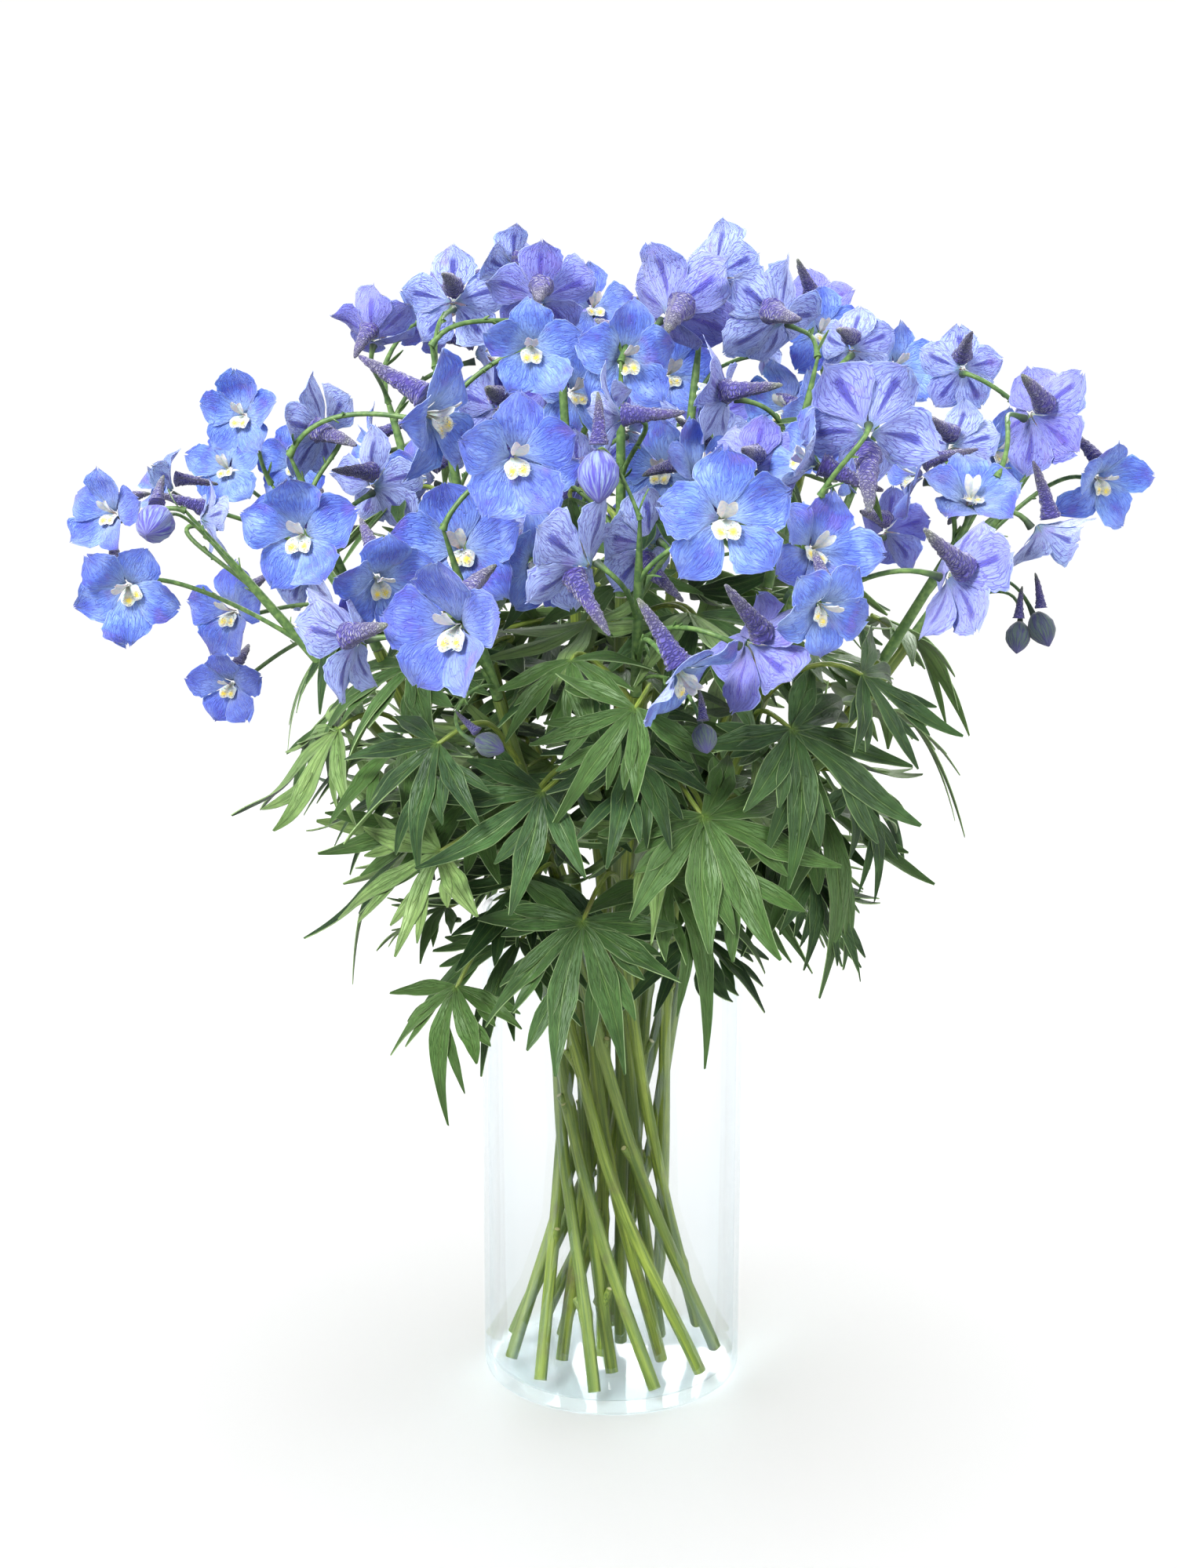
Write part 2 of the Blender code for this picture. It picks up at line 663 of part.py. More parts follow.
def nearest_rod(hub, routes, load):
    """The stem that passes nearest behind a leaf, a little less likely for each leaf that it has."""
    best = None
    for number, route in enumerate(routes):
        point = at_height(route, max(hub.z, LOWEST_LEAF_STALK))[0]
        away = (point - hub).length + load[number] * 7 * MM
        if best is None or away < best[0]:
            best = (away, number)
    return best[1]


# Nodes


def clear_scene():
    for thing in list(bpy.data.objects):
        bpy.data.objects.remove(thing)


def plain_material(name, colour, roughness, alpha=1.0):
    material = bpy.data.materials.new(name)
    material.use_nodes = True
    shader = material.node_tree.nodes["Principled BSDF"]
    shader.inputs["Base Color"].default_value = (*colour, 1)
    shader.inputs["Roughness"].default_value = roughness
    shader.inputs["Metallic"].default_value = 0.0
    shader.inputs["Alpha"].default_value = alpha
    material.diffuse_color = (*colour, alpha)
    return material


def add_node(name, mesh, collection, colour, roughness, alpha=1.0):
    node = bpy.data.objects.new(name, mesh)
    collection.objects.link(node)
    mesh.materials.clear()
    mesh.materials.append(plain_material(name, colour, roughness, alpha))
    return node


def fuse(node, skins):
    """One Boolean union of the node with its repeats, applied, and the repeats removed."""
    if not skins:
        return
    repeats = bpy.data.collections.new(node.name + "_repeats")
    bpy.context.scene.collection.children.link(repeats)
    for number, skin in enumerate(skins):
        name = f"{node.name}_{number}"
        repeats.objects.link(bpy.data.objects.new(name, skin.mesh(name)))
    union = node.modifiers.new("union", "BOOLEAN")
    union.operation = "UNION"
    union.operand_type = "COLLECTION"
    union.collection = repeats
    union.solver = "MANIFOLD"
    graph = bpy.context.evaluated_depsgraph_get()
    whole = bpy.data.meshes.new_from_object(node.evaluated_get(graph))
    node.modifiers.clear()
    node.data = whole
    for repeat in list(repeats.objects):
        bpy.data.objects.remove(repeat)
    bpy.data.collections.remove(repeats)


def vase_profile():
    """Inner floor, inner wall, round rim, outer wall and underside, from axis to axis."""
    inner = VASE_RADIUS - VASE_WALL
    rim = VASE_WALL / 2
    rim_arc = [
        (VASE_RADIUS - rim - rim * math.cos(math.radians(angle)),
         VASE_HEIGHT - rim + rim * math.sin(math.radians(angle)))
        for angle in (0, 60, 120, 180)
    ]
    return [
        (0, VASE_FLOOR),
        (inner - VASE_EDGE, VASE_FLOOR),
        (inner, VASE_FLOOR + VASE_EDGE),
        *rim_arc,
        (VASE_RADIUS, VASE_EDGE),
        (VASE_RADIUS - VASE_EDGE * 0.3, VASE_EDGE * 0.3),
        (VASE_RADIUS - VASE_EDGE, 0),
        (0, 0),
    ]


def add_vase(collection):
    points = [(across, 0, height) for across, height in vase_profile()]
    mesh = bpy.data.meshes.new("vase")
    mesh.from_pydata(points, [(i, i + 1) for i in range(len(points) - 1)], [])
    vase = add_node("vase", mesh, collection, GLASS_COLOUR, GLASS_ROUGHNESS, GLASS_ALPHA)
    turn = vase.modifiers.new("turn", "SCREW")
    turn.steps = VASE_STEPS
    turn.render_steps = VASE_STEPS
    turn.use_merge_vertices = True
    turn.merge_threshold = 0.00001
    turn.use_smooth_shade = True
    return vase


def vase_piece(vase):
    graph = bpy.context.evaluated_depsgraph_get()
    shown = vase.evaluated_get(graph)
    mesh = shown.to_mesh()
    points = [corner.co.copy() for corner in mesh.vertices]
    faces = [tuple(face.vertices) for face in mesh.polygons]
    shown.to_mesh_clear()
    return make_piece("vase", points, faces, True)


def stem_stretch(name, route, heights):
    points = [at_height(route, height)[0] for height in heights]
    radii = [stem_radius(route, height) for height in heights]
    return tube_mesh(name, points, radii, 1)


def stem_piece(node, mesh):
    points = [corner.co.copy() for corner in mesh.vertices]
    return make_piece(node, points, [tuple(face.vertices) for face in mesh.polygons], True)


def main():
    clear_scene()
    bouquet = bpy.data.collections.new("delphinium_bouquet")
    bpy.context.scene.collection.children.link(bouquet)
    vase = add_vase(bouquet)
    placed = [vase_piece(vase)]

    routes = stem_routes()
    stem_names = [f"stem_{number + 1:02d}" for number in range(len(routes))]
    spray_names = [f"spray_{number + 1:02d}" for number in range(len(routes))]
    rods, tops = [], []
    for stem, spray, route in zip(stem_names, spray_names, routes):
        neck = flowering_height(route)
        tip = route[-1].z
        green = [route[0].z, WAIST_HEIGHT, RIM_HEIGHT, (RIM_HEIGHT + neck) / 2, neck - GAP]
        rods.append(stem_stretch(stem, route, green))
        tops.append(stem_stretch(spray, route, [neck, (neck + tip) / 2, tip]))
        placed += [stem_piece(stem, rods[-1]), stem_piece(spray, tops[-1])]

    blooms = [*BLOOMS, *hidden_blooms()]
    rows = [*blooms, *BUDS]
    flowers = [[] for _ in routes]
    for number, (row, owner, height) in enumerate(zip(rows, *attach_flowers(rows, routes))):
        build = bloom_skin if number < len(blooms) else bud_skin
        name = f"flower-{number}"
        tries = flower_tries(name, row, build, routes[owner], height)
        flowers[owner] += place_first_clear(name, spray_names[owner], tries, placed)

    leaves = [[] for _ in routes]
    for number, row in enumerate(leaf_rows()):
        owner = nearest_rod(row[0], routes, [len(some) for some in leaves])
        name = f"leaf-{number}"
        tries = leaf_tries(name, row, routes[owner])
        leaves[owner] += place_first_clear(name, stem_names[owner], tries, placed)

    for number, (rod, top) in enumerate(zip(rods, tops)):
        fuse(add_node(stem_names[number], rod, bouquet, STEM_COLOUR, STEM_ROUGHNESS), leaves[number])
        fuse(add_node(spray_names[number], top, bouquet, BLOOM_COLOUR, BLOOM_ROUGHNESS), flowers[number])


main()
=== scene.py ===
import math
import random
from collections import namedtuple

import bpy
import numpy as np
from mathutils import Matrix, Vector
from mathutils.kdtree import KDTree


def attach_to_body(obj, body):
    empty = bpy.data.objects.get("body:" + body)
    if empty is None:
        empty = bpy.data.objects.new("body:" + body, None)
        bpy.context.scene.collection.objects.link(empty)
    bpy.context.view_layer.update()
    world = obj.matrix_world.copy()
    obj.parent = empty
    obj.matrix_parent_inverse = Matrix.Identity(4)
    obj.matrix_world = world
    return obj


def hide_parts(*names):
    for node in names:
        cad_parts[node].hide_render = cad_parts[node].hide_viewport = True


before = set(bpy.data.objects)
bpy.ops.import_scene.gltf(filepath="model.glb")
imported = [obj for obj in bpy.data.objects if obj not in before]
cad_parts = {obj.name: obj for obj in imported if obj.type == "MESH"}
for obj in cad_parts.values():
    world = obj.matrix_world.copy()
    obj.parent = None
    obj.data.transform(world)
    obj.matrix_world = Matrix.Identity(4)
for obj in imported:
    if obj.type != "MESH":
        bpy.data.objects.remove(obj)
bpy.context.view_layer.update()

mm = 0.001

# Camera, where the photo was taken from
photoView = {
    "centre": (750.0, 999.5),
    "focal": 2830.0,  # pixels
    "longSide": 1999,
    "at": Vector((-0.010, -0.906, 0.428)),
    "pitch": math.radians(10.75),  # looking down
    "sensor": 36.0,
}


def newObject(name, data):
    thing = bpy.data.objects.new(name, data)
    bpy.context.scene.collection.objects.link(thing)
    return thing


def placeCamera():
    lens = bpy.data.cameras.new("photoCamera")
    lens.sensor_width = photoView["sensor"]
    lens.lens = photoView["focal"] * photoView["sensor"] / photoView["longSide"]
    camera = newObject("photoCamera", lens)
    camera.location = photoView["at"]
    camera.rotation_euler = (math.pi / 2 - photoView["pitch"], 0, 0)
    bpy.context.scene.camera = camera


placeCamera()

# Light
studio = {
    "sky": 1.03,
    "aim": (0.0, 0.0, 0.3),
    "lamps": {  # place, size, power in watts
        "key": ((-1.0, -1.4, 1.8), 0.8, 112),
        "fill": ((1.5, -1.1, 0.9), 1.3, 20),
        "back": ((0.5, 1.6, 1.5), 1.4, 66),
        "wash": ((0.0, 0.0, 2.5), 4.0, 22),
    },
}


def lightStudio():
    world = bpy.data.worlds.new("paleStudio")
    world.use_nodes = True
    sky = world.node_tree.nodes["Background"]
    sky.inputs["Color"].default_value = (1, 1, 1, 1)
    sky.inputs["Strength"].default_value = studio["sky"]
    bpy.context.scene.world = world
    bpy.context.scene.view_settings.view_transform = "Standard"
    boxes = {}
    for name, (place, size, power) in studio["lamps"].items():
        lamp = bpy.data.lights.new(name + "Box", "AREA")
        lamp.size = size
        lamp.energy = power
        box = newObject(name + "Box", lamp)
        box.location = place
        box.rotation_euler = (Vector(studio["aim"]) - Vector(place)).to_track_quat("-Z", "Y").to_euler()
        boxes[name] = box
    return boxes


class Mixer:
    # One new material. Short calls add and link its nodes, so that a finish reads in the order it is made
    def __init__(self, name, surface):
        self.material = bpy.data.materials.new(name)
        self.material.use_nodes = True
        self.tree = self.material.node_tree
        self.sockets = self.tree.nodes["Principled BSDF"].inputs
        for socket, value in surface.items():
            self.put(self.sockets[socket], value)

    def put(self, socket, value):
        if isinstance(value, bpy.types.NodeSocket):
            self.tree.links.new(value, socket)
        else:
            socket.default_value = value

    def add(self, kind, values=(), **settings):
        node = self.tree.nodes.new(kind)
        for name, value in settings.items():
            setattr(node, name, value)
        for place, value in dict(values).items():
            self.put(node.inputs[place], value)
        return node

    def values(self, *names):
        return [self.add("ShaderNodeAttribute", attribute_name=name).outputs["Fac"] for name in names]

    def surface(self):
        return self.add("ShaderNodeTexCoord").outputs["Object"]

    def maths(self, operation, *values, clamp=False):
        return self.add("ShaderNodeMath", enumerate(values), operation=operation, use_clamp=clamp).outputs[0]

    def times(self, first, *others):
        for other in others:
            first = self.maths("MULTIPLY", first, other)
        return first

    def span(self, value, low, high):
        # 0 at low and 1 at high
        limits = {"Value": value, "From Min": low, "From Max": high}
        return self.add("ShaderNodeMapRange", limits, interpolation_type="SMOOTHSTEP").outputs[0]

    def blend(self, share, first, second):
        node = self.add("ShaderNodeMix", data_type="RGBA")
        for place, value in ((0, share), (6, first), (7, second)):
            if isinstance(value, tuple):
                value = (*value, 1)
            self.put(node.inputs[place], value)
        return node.outputs[2]

    def over(self, under, colour, share, strength):
        # Lays a colour over another where share says, and never stronger than strength
        return self.blend(self.times(share, strength), under, colour)

    def vector(self, x, y, z):
        return self.add("ShaderNodeCombineXYZ", {0: x, 1: y, 2: z}).outputs[0]

    def lanes(self, many, apart):
        # A place on the piece for marks that lie so many across and so many along it.
        # Pieces of another tone lie apart, so that no two have the same marks
        across, along, tone = self.values("across", "along", "tone")
        return self.vector(self.times(across, many[0]), self.times(along, many[1]), self.times(tone, apart))

    def noise(self, place, scale, detail, rough=0.5, bend=0.0):
        values = {"Vector": place, "Scale": scale, "Detail": detail, "Roughness": rough, "Distortion": bend}
        return self.add("ShaderNodeTexNoise", values).outputs["Fac"]

    def net(self, place, scale):
        # 0 on the lines of a branching net
        values = {"Vector": place, "Scale": scale}
        return self.add("ShaderNodeTexVoronoi", values, feature="DISTANCE_TO_EDGE").outputs["Distance"]

    def bentNet(self, place, scale, x, y, z):
        moved = self.add("ShaderNodeVectorMath", {0: place, 1: self.vector(x, y, z)}, operation="ADD")
        return self.net(moved.outputs[0], scale)

    def finish(self, colour, height, relief):
        # Sets the colour and the relief, whose depth and strength come last
        self.put(self.sockets["Base Color"], colour)
        bump = self.add("ShaderNodeBump", {"Height": height, "Distance": relief[0], "Strength": relief[1]})
        self.put(self.sockets["Normal"], bump.outputs[0])
        return self.material


# Floor
floorLook = {
    "size": 14.0,
    "surface": {"Base Color": (0.99, 0.99, 0.99, 1), "Roughness": 0.6},
}


def layFloor(boxes):
    half = floorLook["size"] / 2
    corners = [(-half, -half, 0), (half, -half, 0), (half, half, 0), (-half, half, 0)]
    mesh = bpy.data.meshes.new("floor")
    mesh.from_pydata(corners, [], [(0, 1, 2, 3)])
    mesh.materials.append(Mixer("paleFloor", floorLook["surface"]).material)
    floor = newObject("floor", mesh)
    # The wash lights the floor alone and the others the bunch alone, so that the floor stays an even white
    for label, state in (("unlitByBoxes", "EXCLUDE"), ("litByWash", "INCLUDE")):
        ground = bpy.data.collections.new(label)
        ground.objects.link(floor)
        ground.collection_objects[0].light_linking.link_state = state
        for name, box in boxes.items():
            if (name == "wash") == (state == "INCLUDE"):
                box.light_linking.receiver_collection = ground


layFloor(lightStudio())
print("camera, light and floor are set")

# Layout: where each stem, bloom and leaf grows, by the same rule as the solids
stemLayout = {
    "foot": (45, 5.3),  # spread and height in mm
    "footLift": 1.2,
    "waist": (22, 91),
    "rim": (39, 204),
    "spread": 292,
    "bulge": (1.35, 0.45),  # how the knot at that height lies between the rim and the tip
    "twistBelow": math.radians(58),
    "twistAbove": math.radians(-56),
    "flowering": 0.60,
    "footRadius": 2.7,
    "neckRadius": 2.2,
    "tipRadius": 1.5,
    "steps": 12,
}
Ring = namedtuple("Ring", "share firstFoot tips")
rings = (
    Ring(1.0, -165, (
        (25, 138, 398), (-78, 128, 392), (-150, 72, 378), (-172, -18, 372), (-122, -72, 396),
        (-62, -118, 372), (8, -126, 376), (72, -122, 384), (142, -78, 388), (176, 4, 394), (118, 98, 396),
    )),
    Ring(0.55, -150, (
        (-14, 76, 432), (-96, 24, 424), (-70, -48, 436), (2, -66, 430), (78, -42, 432), (92, 50, 424),
    )),
    Ring(0.18, -120, ((-22, 8, 446), (36, 14, 446))),
)

# Photo pixel, depth behind the vase axis in mm, turn, tilt and roll in degrees, diameter in mm
Bloom = namedtuple("Bloom", "x y depth turn tilt roll size")
blooms = [Bloom(*row) for row in (
    (310, 530, 20, -15, 5, 0, 38), (145, 655, -20, -25, 10, 0, 38), (216, 622, 30, -60, 25, 0, 34),
    (163, 748, -40, 0, -15, -40, 44), (262, 662, 5, 110, 0, 0, 36), (290, 598, 90, -20, 10, 0, 38),
    (378, 592, 80, -10, 10, 0, 38), (412, 548, -50, -115, 10, 90, 44), (476, 430, 0, 165, 45, 0, 38),
    (548, 528, -75, 60, 0, -20, 52), (385, 682, -80, -10, 0, 0, 48), (482, 738, -112, 25, -22, 0, 42),
    (478, 618, -25, 150, 15, 0, 42), (452, 815, -125, -125, -5, 80, 46), (298, 780, 40, -30, 0, 0, 44),
    (295, 872, 55, -20, -12, 0, 38), (578, 385, 10, 178, 5, 0, 44), (612, 452, 35, 90, 10, 0, 40),
    (642, 362, 65, 95, 20, 0, 36), (676, 442, -62, 5, -12, 0, 40), (690, 380, -20, 180, 32, 0, 46),
    (756, 392, 45, 10, 15, 0, 38), (795, 455, -60, 22, -5, 0, 44), (790, 532, -85, -105, 0, 90, 40),
    (855, 398, -20, 150, 28, -60, 56), (925, 505, -58, -112, 5, 70, 44), (655, 583, -122, 14, -3, 0, 48),
    (588, 700, -108, -5, 10, 0, 52), (680, 715, -78, 35, 0, 0, 42), (582, 798, -155, -22, -4, 0, 54),
    (745, 718, -138, -132, 18, 130, 48), (828, 695, -108, -145, 30, 150, 44),
    (866, 858, -150, 62, -48, -50, 46), (958, 822, -142, 128, -32, -40, 48),
    (922, 662, -142, 6, 4, 0, 50), (962, 598, -98, 168, 10, 0, 40), (992, 405, -20, -150, 22, 60, 50),
    (1036, 388, 42, 150, -28, 0, 36), (1046, 424, 15, 10, 8, 0, 38), (1086, 445, -25, 162, 8, 0, 36),
    (1142, 466, 50, 22, 5, 0, 38), (1106, 548, -118, 176, 22, 180, 54), (1034, 590, -98, -80, 18, 90, 42),
    (1226, 470, 5, 178, -5, 0, 38), (1318, 530, -30, 132, -16, -45, 48), (1400, 610, -10, 26, -20, 0, 40),
    (1326, 675, -42, 95, -55, 0, 42), (1236, 640, -82, 5, 48, 0, 42), (1214, 735, -120, 122, -20, -60, 50),
    (1170, 606, -68, -85, 5, 0, 38), (1214, 570, -48, 142, 0, 0, 38), (1268, 575, 12, 30, 0, 0, 38),
    (1036, 700, -118, 16, 10, 30, 44), (1046, 772, -132, 30, -42, 30, 38),
)]
buds = [Bloom(*row) for row in (
    (200, 665, -45, -10, -20, -30, 15), (763, 600, -128, 0, -60, 0, 15), (620, 948, -140, 60, -15, 0, 9),
    (897, 938, -145, 10, -45, 0, 9), (1326, 797, -45, 40, -60, 0, 11), (1298, 808, -40, -20, -60, 0, 10),
)]
# Deep between the others
heartBlooms = [Bloom(*row) for row in (
    (730, 500, 25, 30, 5, 0, 44), (738, 612, 0, -150, 10, 0, 42), (800, 548, 18, 160, 0, 0, 44),
    (852, 478, 30, 20, 10, 0, 42), (846, 600, -15, -20, 0, 0, 42), (1004, 522, 5, -35, 5, 0, 44),
    (636, 520, 25, 170, 10, 0, 42), (548, 610, 5, -60, 0, 0, 40), (905, 575, 10, 140, 0, 0, 42),
)]
# Rows of blooms round the back
Row = namedtuple("Row", "height reach first last count size")
hiddenRows = (
    Row(346, 166, 30, 150, 5, 44),
    Row(394, 134, 25, 155, 5, 42),
    Row(440, 84, 10, 170, 3, 42),
    Row(452, 36, -40, 220, 2, 40),
    Row(398, 74, -150, 150, 5, 40),
)
hiddenSpread = {"angle": 6, "reach": 10, "height": 12, "turn": 50, "size": 5, "tilt": (-25, 30)}

# Photo pixel of the hub, depth, swing of the middle lobe, droop, lobes and length in mm
Leaf = namedtuple("Leaf", "x y depth swing droop lobes length")
leaves = [Leaf(*row) for row in (
    (742, 1176, -112, 20, 0.35, 7, 58), (581, 1259, -86, 0, 0.40, 5, 44), (897, 1042, -128, -35, 0.35, 7, 62),
    (809, 903, -135, 40, 0.30, 5, 46), (690, 1010, -128, 62, 0.30, 5, 52), (557, 948, -118, 70, 0.35, 5, 50),
    (560, 1085, -110, 90, 0.20, 5, 50), (430, 930, -70, 95, 0.30, 5, 58), (1010, 930, -112, -60, 0.30, 7, 60),
    (1090, 1010, -70, -85, 0.25, 5, 48), (1100, 860, -95, -110, 0.30, 5, 46),
    (1010, 1120, -80, -50, 0.35, 5, 46), (735, 640, -66, -114, 0.05, 3, 48),
)]
frontLeaf = {"hang": 0.8, "out": 0.6, "face": (0.75, 0.65)}
Tier = namedtuple("Tier", "height reach count lobes length")
tiers = (
    Tier(206, 66, 6, 5, 50),
    Tier(232, 80, 8, 5, 56),
    Tier(260, 93, 9, 5, 58),
    Tier(290, 103, 9, 5, 56),
    Tier(319, 106, 8, 5, 50),
    Tier(342, 84, 7, 3, 44),
)
tierSpread = {
    "angle": 8, "reach": 6, "height": 7, "rise": (-0.7, 0.25), "swing": 0.5, "face": (0.1, 0.7), "roll": 0.35,
    "length": 8, "droop": (0.15, 0.5),
}
# Smaller leaves between those, close to the stems
innerLeaves = (
    {"name": "inner", "count": 70, "lobes": 5, "heights": (218, 345), "reach": (22, 76), "length": (42, 60),
     "turned": 0.35},
    {"name": "upper", "count": 26, "lobes": 3, "heights": (346, 412), "reach": (8, 92), "length": (26, 42),
     "turned": 0.15},
)
innerSpread = {
    "step": 137.5, "angle": 12, "rise": (-0.9, 0.4), "swing": 0.8, "face": (-0.2, 0.9), "roll": 0.5,
    "droop": (0.1, 0.5),
}
lobeTurns = {3: (-38, 0, 38), 5: (-84, -42, 0, 42, 84), 7: (-114, -76, -38, 0, 38, 76, 114)}
layoutRule = {
    "stalkDrop": 26 * mm,
    "stalkRoom": 8 * mm,
    "stalkBend": (0.42, 0.4),  # how long it keeps its way behind the bloom and at the stem
    "tipRoom": 2 * mm,
    "behind": 22 * mm,
    "tries": 60,
    "depthRange": 34,
    "turnRange": 24,
    "asideRange": 16 * mm,
    "outRange": 14 * mm,
    "leafTurn": 0.5,
    "shrink": 0.25,
    "crowding": 7 * mm,
    "leafStalkRise": 0.35,
    "lowestLeafStalk": 216 * mm,
    "belowNeck": 6 * mm,
    "gap": 0.3 * mm,
    "match": 0.03 * mm,  # how near a corner of the solids has to be
    "tipAhead": 0.12,  # of a sepal, in shares of the bloom's radius
    "budRing": (0.5, 0.10),
    "budTip": 0.85,
    "shorterByTurn": 0.0034,  # a lobe, for each degree that it turns from the middle one
}


def jitter(draw, reach):
    return draw.uniform(-reach, reach)


def fromPhoto(x, y, depth):
    across = (x - photoView["centre"][0]) / photoView["focal"]
    above = (photoView["centre"][1] - y) / photoView["focal"]
    pitch = photoView["pitch"]
    ray = Vector((
        across,
        math.cos(pitch) + above * math.sin(pitch),
        above * math.cos(pitch) - math.sin(pitch),
    ))
    return photoView["at"] + ray * ((depth - photoView["at"].y) / ray.y)


def toPhoto(point):
    way = point - photoView["at"]
    pitch = photoView["pitch"]
    ahead = way.y * math.cos(pitch) - way.z * math.sin(pitch)
    above = way.y * math.sin(pitch) + way.z * math.cos(pitch)
    return (
        photoView["centre"][0] + photoView["focal"] * way.x / ahead,
        photoView["centre"][1] - photoView["focal"] * above / ahead,
    )


def axes(turn, tilt, roll):
    # Right, up and forward of a bloom
    turn, tilt, roll = (math.radians(angle) for angle in (turn, tilt, roll))
    forward = Vector((
        math.sin(turn) * math.cos(tilt),
        -math.cos(turn) * math.cos(tilt),
        math.sin(tilt),
    ))
    level = Vector((math.cos(turn), math.sin(turn), 0))
    upright = forward.cross(level)
    right = level * math.cos(roll) - upright * math.sin(roll)
    up = upright * math.cos(roll) + level * math.sin(roll)
    return right, up, forward


def polar(radius, degrees, height=0.0):
    angle = math.radians(degrees)
    return Vector((radius * math.cos(angle), radius * math.sin(angle), height))


def smoothPath(knots, steps):
    # A path through every knot
    ends = [knots[0] * 2 - knots[1], *knots, knots[-1] * 2 - knots[-2]]
    path = []
    for a, b, c, d in zip(ends, ends[1:], ends[2:], ends[3:]):
        for t in (step / steps for step in range(steps)):
            bend, turn = a * 2 - b * 5 + c * 4 - d, b * 3 - a - c * 3 + d
            path.append((b * 2 + (c - a) * t + bend * t * t + turn * t ** 3) / 2)
    return path + [knots[-1]]


def bezier(a, b, c, d, t):
    s = 1 - t
    return a * s ** 3 + b * (3 * s * s * t) + c * (3 * s * t * t) + d * t ** 3


def stemKnots(share, footAngle, tip):
    look = stemLayout
    below, above = look["twistBelow"], look["twistAbove"]
    knots = []
    for (spread, height), lift, twist in (
        (look["foot"], share * look["footLift"], 0.0),
        (look["waist"], 0, -below),
        (look["rim"], 0, above - below),
    ):
        knots.append(polar(share * spread * mm, footAngle + math.degrees(twist), (height + lift) * mm))
    tip = Vector(tip) * mm
    middle = (knots[-1] * look["bulge"][0]).lerp(tip, look["bulge"][1])
    middle.z = look["spread"] * mm
    return [*knots, middle, tip]


def stemRoutes():
    routes = []
    for ring in rings:
        for place, tip in enumerate(ring.tips):
            footAngle = ring.firstFoot + place * 360 / len(ring.tips)
            routes.append(smoothPath(stemKnots(ring.share, footAngle, tip), stemLayout["steps"]))
    return routes


def atHeight(route, height):
    for low, high in zip(route, route[1:]):
        if high.z >= height:
            share = (height - low.z) / (high.z - low.z)
            return low.lerp(high, share), (high - low).normalized()
    return route[-1], (route[-1] - route[-2]).normalized()


def floweringHeight(route):
    rim = stemLayout["rim"][1] * mm
    return rim + (route[-1].z - rim) * stemLayout["flowering"]


def stemRadius(route, height):
    neck = floweringHeight(route)
    foot, middle, tip = (stemLayout[key] * mm for key in ("footRadius", "neckRadius", "tipRadius"))
    if height < neck:
        return foot + (middle - foot) * height / neck
    return middle + (tip - middle) * (height - neck) / (route[-1].z - neck)


def hiddenBlooms():
    look = hiddenSpread
    rows = []
    for number, row in enumerate(hiddenRows):
        for place in range(row.count):
            draw = random.Random(f"hidden-{number}-{place}")
            angle = row.first + (row.last - row.first) * (place + 0.5) / row.count
            angle += jitter(draw, look["angle"])
            reach = row.reach + jitter(draw, look["reach"])
            height = row.height + jitter(draw, look["height"])
            point = polar(reach, angle, height) * mm
            turn = angle + 90 + jitter(draw, look["turn"])
            size = row.size + jitter(draw, look["size"])
            rows.append(Bloom(*toPhoto(point), point.y / mm, turn, draw.uniform(*look["tilt"]), 0, size))
    return rows


def nearestStem(point, forward, routes):
    # The stem whose flowering part passes nearest to a place behind and below the bloom
    wanted = point - forward * layoutRule["behind"] - Vector((0, 0, layoutRule["stalkDrop"]))
    away = []
    for route in routes:
        start = floweringHeight(route)
        away.append(min((knot - wanted).length for knot in route if knot.z >= start))
    return away.index(min(away))


def attachFlowers(rows, routes):
    # The stem of each flower, and how high its stalk leaves it: from the tip down, with room between
    points = [fromPhoto(row.x, row.y, row.depth * mm) for row in rows]
    owners = [
        nearestStem(point, axes(row.turn, row.tilt, row.roll)[2], routes)
        for row, point in zip(rows, points)
    ]
    heights = [0.0] * len(rows)
    for owner, route in enumerate(routes):
        low = floweringHeight(route) + layoutRule["stalkRoom"] / 2
        own = sorted((i for i, stem in enumerate(owners) if stem == owner), key=lambda i: -points[i].z)
        limit = route[-1].z - layoutRule["tipRoom"]
        room = min(layoutRule["stalkRoom"], (limit - low) / max(len(own) - 1, 1))
        for place, flower in enumerate(own):
            lowest = low + room * (len(own) - 1 - place)
            wanted = limit if place == 0 else points[flower].z - layoutRule["stalkDrop"]
            heights[flower] = min(max(wanted, lowest), limit)
            limit = heights[flower] - room
    return owners, heights


def leafRows():
    # Hub, way of the middle lobe, face, lobes, length and droop of each leaf before it was moved
    rows = []
    look = frontLeaf
    for leaf in leaves:
        hub = fromPhoto(leaf.x, leaf.y, leaf.depth * mm)
        swing = math.radians(leaf.swing)
        out = Vector((hub.x, hub.y, 0)).normalized()
        main = Vector((-math.sin(swing), 0, -math.cos(swing))) * look["hang"] + out * look["out"]
        normal = out * look["face"][0] + Vector((0, 0, look["face"][1]))
        rows.append((hub, main, normal, leaf.lobes, leaf.length, leaf.droop))
    look = tierSpread
    for number, tier in enumerate(tiers):
        for place in range(tier.count):
            draw = random.Random(f"tier-{number}-{place}")
            angle = 360 * (place + 0.5 * (number % 2)) / tier.count + jitter(draw, look["angle"])
            reach = tier.reach + jitter(draw, look["reach"])
            height = tier.height + jitter(draw, look["height"])
            main, normal = spreadLeaf(draw, angle, look)
            length = tier.length + jitter(draw, look["length"])
            hub = polar(reach, angle, height) * mm
            rows.append((hub, main, normal, tier.lobes, length, draw.uniform(*look["droop"])))
    return rows


